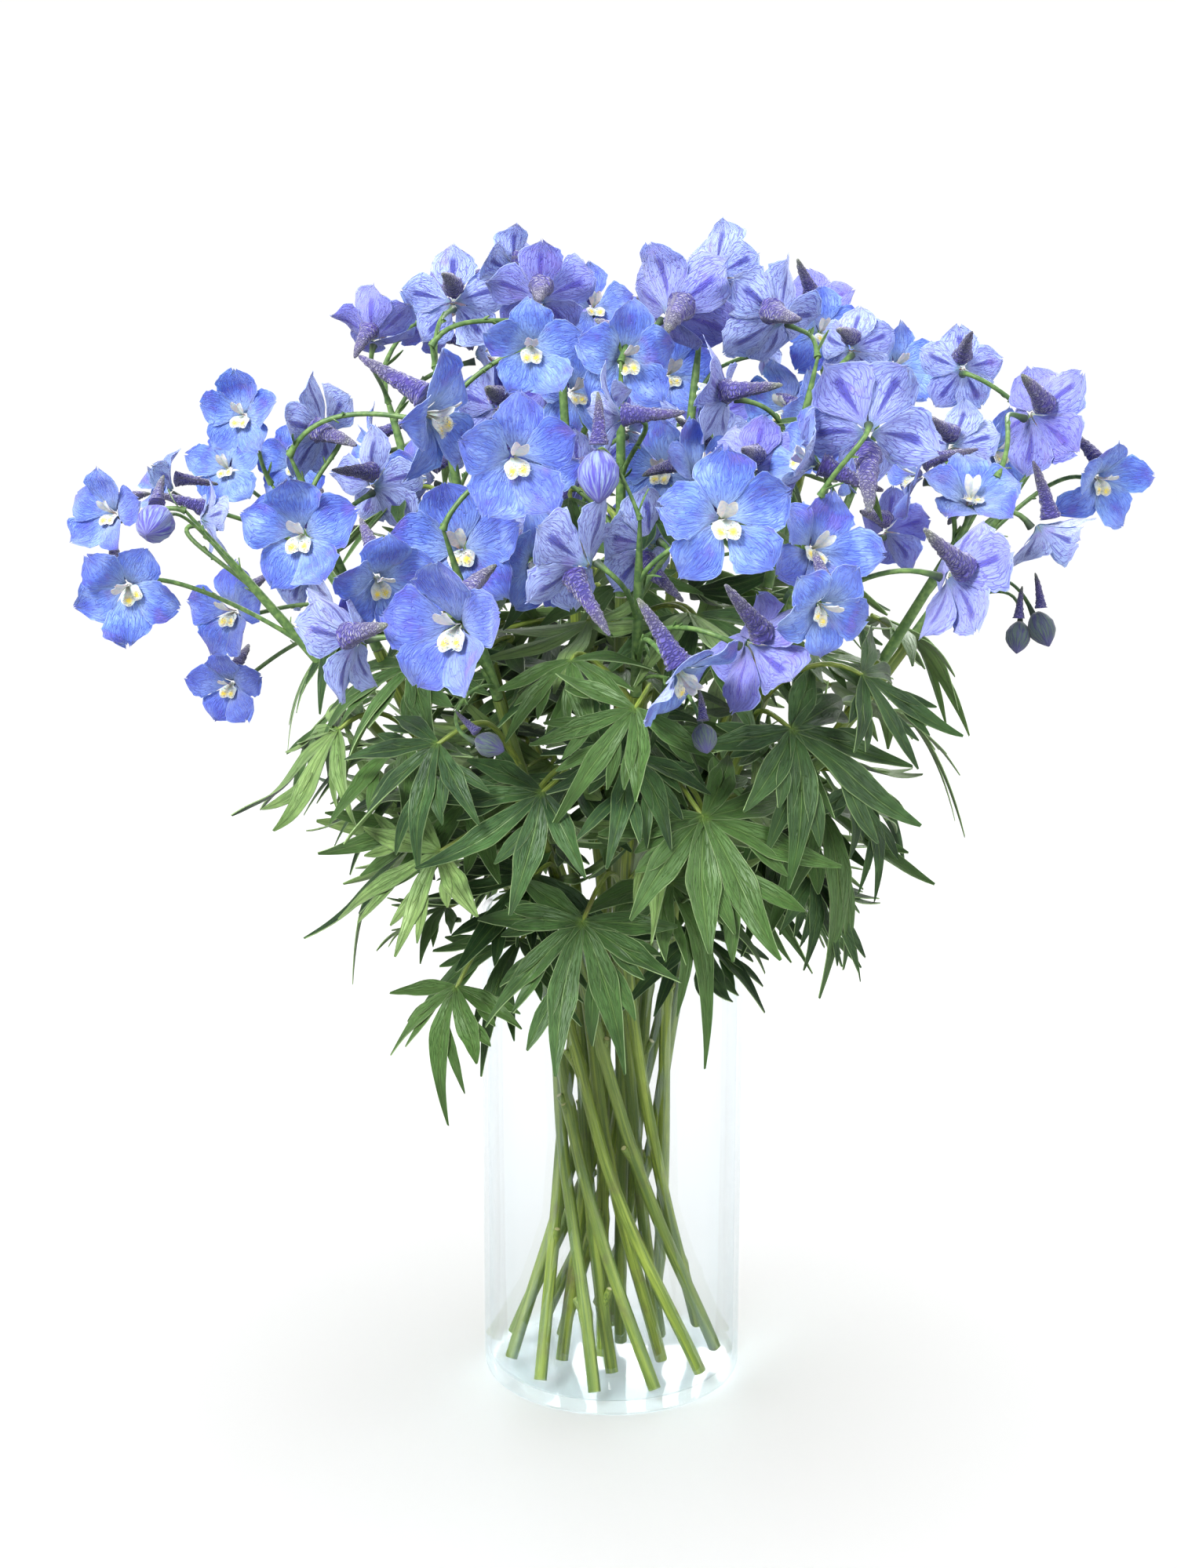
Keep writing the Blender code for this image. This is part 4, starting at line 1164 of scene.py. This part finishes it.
def vaseProfile():
    # From the middle of the underside, up the outer wall, over the rim and down to the middle inside
    size = vaseShape
    outer, inner = size["radius"], size["radius"] - size["wall"]
    edge, rim = size["edge"], size["wall"] / 2
    profile = [(0.0, size["domed"]), (outer * 0.45, size["domed"] * 0.8), (outer - edge * 2.2, 0.15)]
    profile += roundCorner(outer - edge, edge, edge, -100, 0)
    profile += [(outer, size["height"] * share) for share in (0.25, 0.5, 0.75)]
    profile += roundCorner(outer - rim, size["height"] - rim, rim, 0, 180, 9)
    profile += [(inner, size["height"] * share) for share in (0.75, 0.5, 0.25)]
    profile += roundCorner(inner - edge, size["floor"] + edge, edge, 0, -90)
    profile += [(inner * 0.4, size["floor"] + 0.3), (0.0, size["floor"] + 0.4)]
    return np.array(profile) * mm


def addVase():
    profile, steps = vaseProfile(), vaseShape["steps"]
    turns = np.arange(steps) * 2 * np.pi / steps
    ring = profile[1:-1]
    points = np.stack([
        ring[:, None, 0] * np.cos(turns), ring[:, None, 0] * np.sin(turns),
        np.repeat(ring[:, 1:2], steps, 1),
    ], -1).reshape(-1, 3)
    points = np.concatenate([points, [(0, 0, profile[0, 1]), (0, 0, profile[-1, 1])]])
    form = Form()
    form.add(points, *tubeFaces(len(ring), steps))
    form.piece("vaseGlass", [glassFinish], "vase", slot="vase_glass", sharp=80)


addVase()
print("vase is turned")


def outAndAcross(right, up, angle):
    # The way out at an angle, and the way across it
    return right * math.cos(angle) + up * math.sin(angle), up * math.cos(angle) - right * math.sin(angle)


def placed(middle, radius, ways, shares):
    # Points, from their shares of a radius along each of three ways
    return middle + radius * sum(share[..., None] * way for share, way in zip(shares, ways))


# Blooms. Lengths are in shares of the bloom's radius where they aren't in mm
sepalShape = {
    "rows": 18,
    "columns": 11,
    "turn": 5,  # degrees either way from an even star
    "claw": 0.06,  # where a sepal starts
    "length": (0.93, 1.0),
    "width": 0.425,
    "widths": (0.90, 1.08),
    "widest": 1.38,
    "widestSpread": (0.90, 1.12),
    "roundness": (0.58, 0.90),
    "lean": 0.07,
    "thick": 0.42 * mm,
    "thinEdge": 0.55,
    "thinTip": 0.6,
    "stand": 0.145,  # how far ahead of the bloom's middle a sepal stands
    "throat": 0.30,  # how deep it dips towards the middle
    "throatReach": 0.2,
    "cup": 0.30,
    "openness": (0.5, 1.7),
    "tipBack": 0.08,
    "tipsBack": (-0.6, 2.0),
    "keel": (0.020, 0.10),  # depth and width of the fold down the middle
    "layers": (0.0, 0.035, -0.020, 0.050, -0.040),  # which sepal lies over its neighbours
    "tilt": 0.07,
    "fray": 0.042,
    "notch": 0.8,
    "wave": 0.062,
    "waveSize": 0.13,
    "creases": 2,
    "crease": (-0.50, 0.70),
    "creaseTurn": (0.2, 1.9),
    "creaseStart": (0.30, 0.62),
    "sweep": (-0.04, 0.30),  # how far the tips come forward
    "sweeps": (0.8, 1.2),
    "tones": 0.15,
}


def sepalShares(draw, openness):
    # Along and across each point of a sepal, and how far ahead it stands, in shares of the bloom's radius
    look = sepalShape
    rows, columns, fray = look["rows"], look["columns"], look["fray"]
    t, v = gridShares(rows, columns)
    t, v = np.sin(t * np.pi / 2), np.sign(v) * np.abs(v) ** 0.85
    widest = look["widest"] * draw.uniform(*look["widestSpread"])
    half = np.sin(np.pi * np.clip(t, 0.03, 0.988) ** widest) ** draw.uniform(*look["roundness"])
    half = half * look["width"] * draw.uniform(*look["widths"])
    frayed = np.array([[draw.gauss(0, 1) for _ in range(2)] for _ in range(rows)]) * fray
    half = half * (1 + np.where(v < 0, frayed[:, :1], frayed[:, 1:]) * np.abs(v) ** 4 * (t > 0.3))
    lean = jitter(draw, look["lean"])
    x = look["claw"] + (draw.uniform(*look["length"]) - look["claw"]) * t
    y = v * half + lean * x * x
    notches = np.array([draw.gauss(0, 1) for _ in range(columns)])[None, :] * fray * look["notch"]
    x = x + notches * fade(t, 0.8, 1.0)
    ahead = look["stand"] - look["throat"] * np.exp(-x / look["throatReach"]) + look["cup"] * openness * y * y
    ahead = ahead - look["tipBack"] * draw.uniform(*look["tipsBack"]) * fade(x, 0.6, 1.0) ** 2
    deep, wide = look["keel"]
    ahead = ahead - deep * np.exp(-(v / wide) ** 2) * np.sin(np.pi * t)
    ahead = ahead + ripple(draw, x, y, look["waveSize"], look["wave"]) * fade(t, 0.1875, 0.8125)
    for _ in range(look["creases"]):
        angle = draw.choice((-1, 1)) * draw.uniform(*look["creaseTurn"])
        start = draw.uniform(*look["creaseStart"]) * max(math.cos(angle), 0.25)
        beyond = np.maximum(x * math.cos(angle) + y * math.sin(angle) - start, 0)
        ahead = ahead + draw.uniform(*look["crease"]) * beyond * fade(t, 0.25, 0.75)
    return x, y, ahead, t, v


def addSepals(form, middle, right, up, forward, radius, draw, tone):
    look = sepalShape
    openness, sweep = draw.uniform(*look["openness"]), draw.uniform(*look["sweep"])
    layers = look["layers"][::draw.choice((-1, 1))]
    for place in range(5):
        turn = math.radians(90 + 72 * place + jitter(draw, look["turn"]))
        x, y, ahead, t, v = sepalShares(draw, openness)
        ahead = ahead + layers[place] * fade(t, 0, 0.5) + jitter(draw, look["tilt"]) * y
        onward = ahead + sweep * draw.uniform(*look["sweeps"]) * x
        x = x - sweep * x * ahead - sweep ** 2 * x / 2
        front = placed(middle, radius, (*outAndAcross(right, up, turn), forward), (x, y, onward))
        thick = look["thick"] * (1 - look["thinEdge"] * np.abs(v) ** 3)
        thick = thick * np.where(t > 0.9, look["thinTip"], 1.0)
        back = front - forward * thick[..., None]
        addShell(form, front, back, t, v, min(max(tone + jitter(draw, look["tones"]), 0), 1))


spurShape = {
    "path": ((-0.07, 0.27), (-0.34, 0.38), (-0.80, 0.50), (-1.15, 0.575)),  # ahead and up
    "bend": 0.06,
    "tipUp": (-0.05, 0.10),
    "tipAside": 0.10,
    "rings": 32,
    "sides": 14,
    "girth": (
        (0, 0.195), (0.06, 0.18), (0.14, 0.158), (0.25, 0.138), (0.5, 0.108),
        (0.75, 0.078), (0.88, 0.052), (0.95, 0.038), (1, 0.020),
    ),
    "squeeze": 1.12,
    "crinkle": 0.13,
    "folds": (3, 0.6),  # how far apart round the spur and along it
    "grain": 0.45,
}


def addSpur(form, middle, right, up, forward, radius, draw):
    look = spurShape
    knots = [middle + radius * (forward * ahead + up * rise) for ahead, rise in look["path"]]
    tipUp, tipAside = draw.uniform(*look["tipUp"]), jitter(draw, look["tipAside"])
    knots[3] = knots[3] + up * radius * tipUp + right * radius * tipAside
    knots[2] = knots[2] + right * radius * jitter(draw, look["bend"])
    rings, sides = look["rings"], look["sides"]
    path = np.array([bezier(*knots, t) for t in np.linspace(0, 1, rings)])
    girth = shapedCurve(look["girth"], rings)[:, None] * radius
    steps, turns = np.mgrid[0:rings, 0:sides]
    around, size = look["folds"]
    folds = ripple(draw, steps * 1.0, np.cos(turns * 2 * np.pi / sides) * around, size, 1.0, 5)
    folds = folds + np.array([[draw.gauss(0, look["grain"]) for _ in range(sides)] for _ in range(rings)])
    girth = girth * (1 + look["crinkle"] * folds)
    addTube(form, path, girth, sides, right, 1, draw.random(), squeeze=look["squeeze"])


BeePetal = namedtuple("BeePetal", "turn reach width lift dome spotted")  # turn in degrees from up
beeShape = {
    "rows": 8,
    "columns": 7,
    "thick": 0.35 * mm,
    "petals": (
        BeePetal(153, 0.28, 0.135, 0.15, 1.5, True), BeePetal(-153, 0.28, 0.135, 0.15, 1.5, True),
        BeePetal(20, 0.24, 0.085, 0.34, 0.8, False), BeePetal(-20, 0.24, 0.085, 0.34, 0.8, False),
    ),
    "turn": 7,
    "widths": (0.9, 1.1),
    "reaches": (0.92, 1.08),
    "claw": 0.015,
    "sunk": 0.06,
    "rise": 0.17,
    "domed": (0.055, 3.2),
    "wave": (0.05, 0.022),
    "hairs": 60,
    "hairLength": 0.075,
    "hairLengths": (0.6, 1.2),
    "hairWidth": 0.008,
    "hairRoot": 0.1 * mm,
    "hairLean": ((0.5, 1.0), (-0.7, 0.7), (-0.4, 0.8)),  # ahead, aside and up
}


def addHair(form, root, tip, width):
    way = tip - root
    aside = np.cross(way, (0.31, 0.47, 0.83))
    aside = aside / max(np.linalg.norm(aside), 1e-9) * width
    up = np.cross(way / max(np.linalg.norm(way), 1e-9), aside)
    ring = [root + aside, root - aside / 2 + up * 0.87, root - aside / 2 - up * 0.87, tip]
    faces = np.array([(0, 1, 3), (1, 2, 3), (2, 0, 3), (2, 1, 0)])
    form.add(np.array(ring), np.zeros((0, 4), int), faces, along=0.9, across=0.9)


def addBee(form, middle, right, up, forward, radius, draw):
    look = beeShape
    spots = []
    t, v = gridShares(look["rows"], look["columns"])
    for petal in look["petals"]:
        turn = math.radians(90 + petal.turn + jitter(draw, look["turn"]))
        half = petal.width * np.sin(np.pi * np.clip(t, 0.06, 0.94) ** 1.25) ** 0.55
        y = v * half * draw.uniform(*look["widths"])
        x = look["claw"] + petal.reach * draw.uniform(*look["reaches"]) * t * (1 - 0.10 * v * v)
        ahead = (look["rise"] + petal.lift) * t ** 0.6 - look["sunk"]
        high, falls = look["domed"]
        ahead = ahead + petal.dome * (high - falls * y * y) * np.sin(np.pi * t ** 0.8)
        ahead = ahead + ripple(draw, x, y, *look["wave"])
        front = placed(middle, radius, (*outAndAcross(right, up, turn), forward), (x, y, ahead))
        addShell(form, front, front - forward * look["thick"], t, v, float(petal.spotted))
        if petal.spotted:
            spots.append(front)
    for number in range(look["hairs"]):
        row, column = draw.randrange(2, look["rows"] - 1), draw.randrange(1, look["columns"] - 1)
        root = spots[number % 2][row, column]
        lean = sum(draw.uniform(*reach) * way for reach, way in zip(look["hairLean"], (forward, right, up)))
        tip = root + lean * (look["hairLength"] * radius * draw.uniform(*look["hairLengths"]))
        addHair(form, root - forward * look["hairRoot"], tip, look["hairWidth"] * radius)


stalkShape = {
    "rings": 18,
    "sides": 9,
    "girth": ((0, 1.75), (0.05, 1.25), (0.14, 0.95), (0.85, 0.95), (0.95, 1.2), (1, 1.6)),
    "budGirth": 0.75,
    "behind": (0.065, 0.45),  # how far behind the middle of a bloom or a bud it starts
    "below": (0.06, 0.12),
    "bracts": ((-2, 0.8), (9, 0.28), (10, 0.28)),  # ring of the stalk, and size
}
bractShape = {
    "rows": 7,
    "columns": 5,
    "length": 11 * mm,
    "lengths": (0.7, 1.2),
    "width": 0.8 * mm,
    "thick": 0.3 * mm,
    "bow": (-0.25, 0.35),
    "hollow": 0.25,
    "lean": (0.4, 0.9),
}


def addBract(form, root, way, scale, draw):
    # A narrow pointed blade that leans away from the stalk
    look = bractShape
    aside = unit(np.cross(way, (jitter(draw, 1), jitter(draw, 1), 0.3)))
    lean = unit(way * 0.9 + aside * draw.uniform(*look["lean"]))
    normal = unit(np.cross(lean, np.cross(aside, lean)))
    across = unit(np.cross(normal, lean))
    length, width = look["length"] * scale * draw.uniform(*look["lengths"]), look["width"]
    t, v = gridShares(look["rows"], look["columns"])
    half = width * np.sin(np.pi * np.clip(t * 0.9 + 0.08, 0, 0.985)) ** 0.7
    rise = draw.uniform(*look["bow"]) * length * t * t + look["hollow"] * width * v * v
    front = placed(root, 1.0, (lean, across, normal), (length * t, half * v, rise))
    addShell(form, front, front - normal * look["thick"], t, v, 0.5)


def stalkPath(start, top, way, plant, rings):
    # From a bloom or leaf to where it grows from the stem, the same bend as in the solids
    reach = (top - plant.anchor).length
    first, last = layoutRule["stalkBend"]
    leave = plant.anchor + (plant.grows + (top - plant.anchor).normalized()).normalized() * reach * last
    knots = (start, top - way * reach * first, leave, plant.anchor)
    return [arrow(bezier(*knots, t)) for t in np.linspace(0, 1, rings)]


def addStalk(form, flower, draw):
    look = stalkShape
    right, up, forward = flower.frame
    behind, below = (look[key][flower.isBud] * flower.size for key in ("behind", "below"))
    back = flower.middle - forward * behind - up * below
    path = stalkPath(back, back, forward, flower, look["rings"])
    thinner = look["budGirth"] if flower.isBud else 1.0
    girth = shapedCurve(look["girth"], look["rings"]) * mm * thinner
    addTube(form, path, girth, look["sides"], arrow(right))
    for place, scale in look["bracts"]:
        addBract(form, path[place], unit(path[place - 1] - path[place]), scale, draw)


budShape = {
    "rings": 15,
    "sides": 20,
    "girth": ((0, 0.16), (0.12, 0.32), (0.35, 0.47), (0.6, 0.46), (0.8, 0.30), (0.93, 0.13), (1, 0.03)),
    "reach": (-0.47, 0.83),  # from its foot to its tip, in shares of its size
    "seam": 0.14,
    "seams": 5,
    "seamTwist": 1.2,
    "paleFrom": 12 * mm,
    "spur": 1.1,
    "spurFoot": 0.45,
}


def addBud(form, middle, right, forward, size):
    look = budShape
    rings, sides = look["rings"], look["sides"]
    path = np.array([middle + forward * size * share for share in np.linspace(*look["reach"], rings)])
    girth = shapedCurve(look["girth"], rings)[:, None] * size
    turns = np.arange(sides)[None, :] * 2 * np.pi / sides
    steps = np.linspace(0, 1, rings)[:, None]
    seams = np.abs(np.sin(look["seams"] / 2 * turns + look["seamTwist"] * steps)) ** 0.5 - 0.6
    addTube(form, path, girth * (1 + look["seam"] * seams), sides, right, 2, float(size > look["paleFrom"]))


def stemRings(route, low, high, count):
    heights = np.linspace(low, high, count)
    path = np.array([arrow(atHeight(route, height)[0]) for height in heights])
    return heights, path, np.array([stemRadius(route, height) for height in heights])


topShape = {"rings": 14, "sides": 12, "taper": 24 * mm, "tip": 0.35}  # the stem that carries the blooms


def addTop(form, route):
    look = topShape
    tip = route[-1].z
    foot = floweringHeight(route) + layoutRule["gap"]
    heights, path, girth = stemRings(route, foot, tip, look["rings"])
    girth = girth * np.interp(heights, (tip - look["taper"], tip), (1.0, look["tip"]))
    addTube(form, path, girth, look["sides"], np.array((1.0, 0, 0)), tone=1.0)


def dressSpray(label, route, own):
    petals, bees, green = Form(), Form(), Form()
    for flower in own:
        draw = random.Random("dress-" + flower.name)
        middle, size, radius = arrow(flower.middle), flower.size, flower.size / 2
        right, up, forward = (arrow(axis) for axis in flower.frame)
        if flower.isBud:
            addBud(petals, middle, right, forward, size)
            foot = middle - forward * budShape["spurFoot"] * size
            addSpur(petals, foot, right, up, forward, size * budShape["spur"], draw)
        else:
            addSepals(petals, middle, right, up, forward, radius, draw, draw.random())
            addSpur(petals, middle, right, up, forward, radius, draw)
            addBee(bees, middle, right, up, forward, radius, draw)
        addStalk(green, flower, draw)
    addTop(green, route)
    node = "spray_" + label
    if petals.count:
        petals.piece("blooms_" + label, [sepalFinish, spurFinish, budFinish], node)
    if bees.count:
        bees.piece("bees_" + label, [beeFinish], node, sharp=70)
    green.piece("stalks_" + label, [stalkFinish], node, slot="leaf_green")


for label, route, own in zip(labels, routes, flowers):
    dressSpray(label, route, own)
print("blooms are open")

# Leaves. Lengths are in shares of the leaf's length where they aren't in mm
lobeShape = {
    "grids": ((13, 5), (17, 5), (20, 7)),  # rows and columns of a far, middle and near lobe
    "forked": (0.25, 0.72, 0.72),  # how many of their sides bear a segment
    "width": 0.075,
    "widths": (0.85, 1.15),
    "shoulder": 0.22,  # how much wider a lobe is where it forks
    "lengths": (0.96, 1.0),
    "turn": 5,
    "layer": 0.0045,  # every other lobe lies this much higher
    "segmentGrid": (11, 5),
    "segmentWidth": 0.66,  # of the lobe's own width
    "segmentStart": (0.26, 0.44),
    "segmentTurn": (15, 30),
    "segmentLength": (0.38, 0.55),
    "segmentSunk": 0.004,
    "thick": 0.42 * mm,
    "fold": 0.34,
    "folds": (0.3, 1.4),
    "wave": 0.030,
    "waveSize": 0.12,
    "edgeWave": (0.03, 23, 40),
    "bend": (-0.50, 0.45),
    "bow": 0.24,
    "twist": 1.9,
    "tones": 0.1,
    "turned": 0.22,  # how many far leaves show their underside
    "turnedNear": ("leaf-6", "leaf-7"),
}


def addLance(form, bent, start, angle, length, width, grid, values, draw, shoulder=0.0):
    # One pointed blade of a lobe. bent turns shares along and across the lobe into points
    t, v = gridShares(*grid)
    swell = np.sin(np.pi * (t * 0.93 + 0.035) ** 0.85) ** 0.9
    half = width * swell * (1 + shoulder * np.exp(-((t - 0.46) / 0.15) ** 2))
    size, pace, shift = lobeShape["edgeWave"]
    y = v * half * (1 + size * np.sin(t * pace + values["tone"] * shift))
    x = t * length + np.abs(y) * 0.25 * np.sin(np.pi * t)
    rise = (np.abs(v) - 0.45) * half * lobeShape["fold"] * draw.uniform(*lobeShape["folds"])
    along = start[0] + x * math.cos(angle) - y * math.sin(angle)
    across = start[1] + x * math.sin(angle) + y * math.cos(angle)
    front, back = bent(along, across, rise + values["lift"])
    addShell(form, front, back, np.clip(along, 0, 1), v, values["tone"], values["faces"])


def addLobe(form, leaf, turn, reach, draw, sides, detail, values):
    hub, main, side, normal = (arrow(part) for part in (leaf.hub, leaf.main, leaf.side, leaf.normal))
    normal = unit(normal)
    shape = lobeShape
    lobeWay, lobeAside = outAndAcross(main, side, math.radians(turn))
    bend, bow = draw.uniform(*shape["bend"]), jitter(draw, 1) * shape["bow"]
    twist = jitter(draw, 1) * shape["twist"]
    waves = random.Random(draw.random())
    start = waves.getstate()

    def bent(x, y, rise):
        waves.setstate(start)
        rise = rise + ripple(waves, x, y, shape["waveSize"], shape["wave"]) * fade(x, 0, 1 / 3)
        turned = twist * np.clip(x - 0.15, 0, 1) ** 1.3
        level = y * np.cos(turned) - rise * np.sin(turned) + bow * x * x
        upright = y * np.sin(turned) + rise * np.cos(turned) - leaf.droop * x * x - bend * x ** 3
        front = placed(hub, leaf.length, (lobeWay, lobeAside, normal), (x, level, upright))
        face = normal * np.cos(turned)[..., None] - lobeAside * np.sin(turned)[..., None]
        return front, front - face * shape["thick"]

    width = shape["width"] * draw.uniform(*shape["widths"])
    grid = shape["grids"][detail]
    addLance(form, bent, (0.0, 0.0), 0.0, reach, width, grid, values, draw, shape["shoulder"])
    values = {**values, "lift": values["lift"] - shape["segmentSunk"]}
    for way in sides:
        foot = (draw.uniform(*shape["segmentStart"]) * reach, way * width * 0.25)
        swing = way * math.radians(draw.uniform(*shape["segmentTurn"]))
        long, narrow = draw.uniform(*shape["segmentLength"]) * reach, width * shape["segmentWidth"]
        addLance(form, bent, foot, swing, long, narrow, shape["segmentGrid"], values, draw)


def addLeaf(form, leaf, draw, detail):
    tone = draw.random()
    shape = lobeShape
    turned = draw.random() < shape["turned"] if detail == 1 else leaf.name in shape["turnedNear"]
    faces = (1.0, 0.0) if turned else (0.0, 1.0)
    for place, turn in enumerate(lobeTurns[leaf.lobes]):
        sides = [way for way in (-1, 1) if draw.random() < shape["forked"][detail]]
        if leaf.lobes == 3:
            sides = []
        reach = (1 - layoutRule["shorterByTurn"] * abs(turn)) * draw.uniform(*shape["lengths"])
        ownTone = min(tone + draw.uniform(0, shape["tones"]), 1)
        values = {"tone": ownTone, "lift": shape["layer"] * (place % 2), "faces": faces}
        addLobe(form, leaf, turn + jitter(draw, shape["turn"]), reach, draw, sides, detail, values)


leafStalkShape = {
    "rings": 13,
    "sides": 7,
    "girth": ((0, 0.8), (0.1, 0.95), (0.8, 1.1), (1, 2.0)),
    "under": 0.5 * mm,  # how far below the hub it starts
    "behind": 0.08,
    "tone": 0.3,
}


def addLeafStalk(form, leaf):
    look = leafStalkShape
    back = leaf.hub - leaf.main * leaf.length * look["behind"]
    path = stalkPath(leaf.hub - leaf.normal * look["under"], back, leaf.main, leaf, look["rings"])
    girth = shapedCurve(look["girth"], look["rings"]) * mm
    addTube(form, path, girth, look["sides"], arrow(leaf.side), look=1, tone=look["tone"])


# Stems
rodShape = {
    "rings": 64,
    "sides": 14,
    "ridges": 5,
    "ridge": 0.05,
    "wobble": 1.8 * mm,
    "joints": (2, 4),
    "jointHeights": (0.03, 0.19),
    "joint": (0.22, 2.6 * mm),  # how much thicker, and over what length
}
# What is left of a leaf stalk that was cut off
stubShape = {
    "sides": 9,
    "length": 7.0 * mm,
    "lengths": (0.6, 1.2),
    "out": 0.55,
    "girth": ((0, 2.3), (0.35, 1.9), (0.7, 1.55), (0.98, 1.5), (1.0, 1.25)),  # share of its length, mm
    "cut": ((-0.1, 1.2), (0.15, 1.1)),  # mm beyond its end, mm
    "fromFoot": 8 * mm,
}


def addStub(form, route, joint, draw, tone):
    look = stubShape
    place, grows = (arrow(part) for part in atHeight(route, joint))
    angle = draw.uniform(0, 2 * math.pi)
    out = np.array((math.cos(angle), math.sin(angle), 0.0))
    length = look["length"] * draw.uniform(*look["lengths"])
    way = unit(out * look["out"] + grows)
    aside = np.cross(way, out)
    path = [place + way * length * share for share, _ in look["girth"]]
    girth = np.array([girth for _, girth in look["girth"]]) * mm
    addTube(form, path, girth, look["sides"], aside, tone=tone)
    ends = [path[-1] + way * beyond * mm for beyond, _ in look["cut"]]
    girth = np.array([girth for _, girth in look["cut"]]) * mm
    addTube(form, ends, girth, look["sides"], aside, side=1.0, tone=tone)


def addRod(form, route, draw):
    look = rodShape
    foot, neck = route[0].z, floweringHeight(route) - layoutRule["gap"]
    heights, path, girth = stemRings(route, foot, neck, look["rings"])
    share = np.linspace(0, 1, look["rings"])
    for axis in (0, 1):
        for waves in (2, 3, 5):
            path[:, axis] += look["wobble"] * jitter(draw, 1) / waves * np.sin(math.pi * waves * share)
    turns = np.arange(look["sides"]) * 2 * np.pi / look["sides"]
    ridges = 1 + look["ridge"] * np.cos(turns * look["ridges"] + draw.uniform(0, 6))
    joints = [draw.uniform(*look["jointHeights"]) for _ in range(draw.randint(*look["joints"]))]
    thicker, over = look["joint"]
    swell = 1 + sum(thicker * np.exp(-((heights - joint) / over) ** 2) for joint in joints)
    tone = draw.random()
    girth = (girth * swell)[:, None] * ridges
    addTube(form, path, girth, look["sides"], np.array((1.0, 0, 0)), tone=tone)
    for joint in joints:
        if joint >= foot + stubShape["fromFoot"]:
            addStub(form, route, joint, draw, tone)


def dressStem(number, label):
    rod, green = Form(), Form()
    addRod(rod, routes[number], random.Random(f"rod-{number}"))
    node = "stem_" + label
    rod.piece("rod_" + label, [stemFinish], node, slot="leaf_green")
    for leaf in foliage[number]:
        kind, place = leaf.name.split("-")
        detail = 0 if kind != "leaf" else 2 if int(place) < len(leaves) else 1
        addLeaf(green, leaf, random.Random("dress-" + leaf.name), detail)
        addLeafStalk(green, leaf)
    if green.count:
        green.piece("leaves_" + label, [leafFinish, stemFinish], node, slot="leaf_green")


for number, label in enumerate(labels):
    dressStem(number, label)
print("stems and leaves are grown")

print("triangles in all", sum(madeTriangles.values()), "most in a piece", max(madeTriangles.values()))
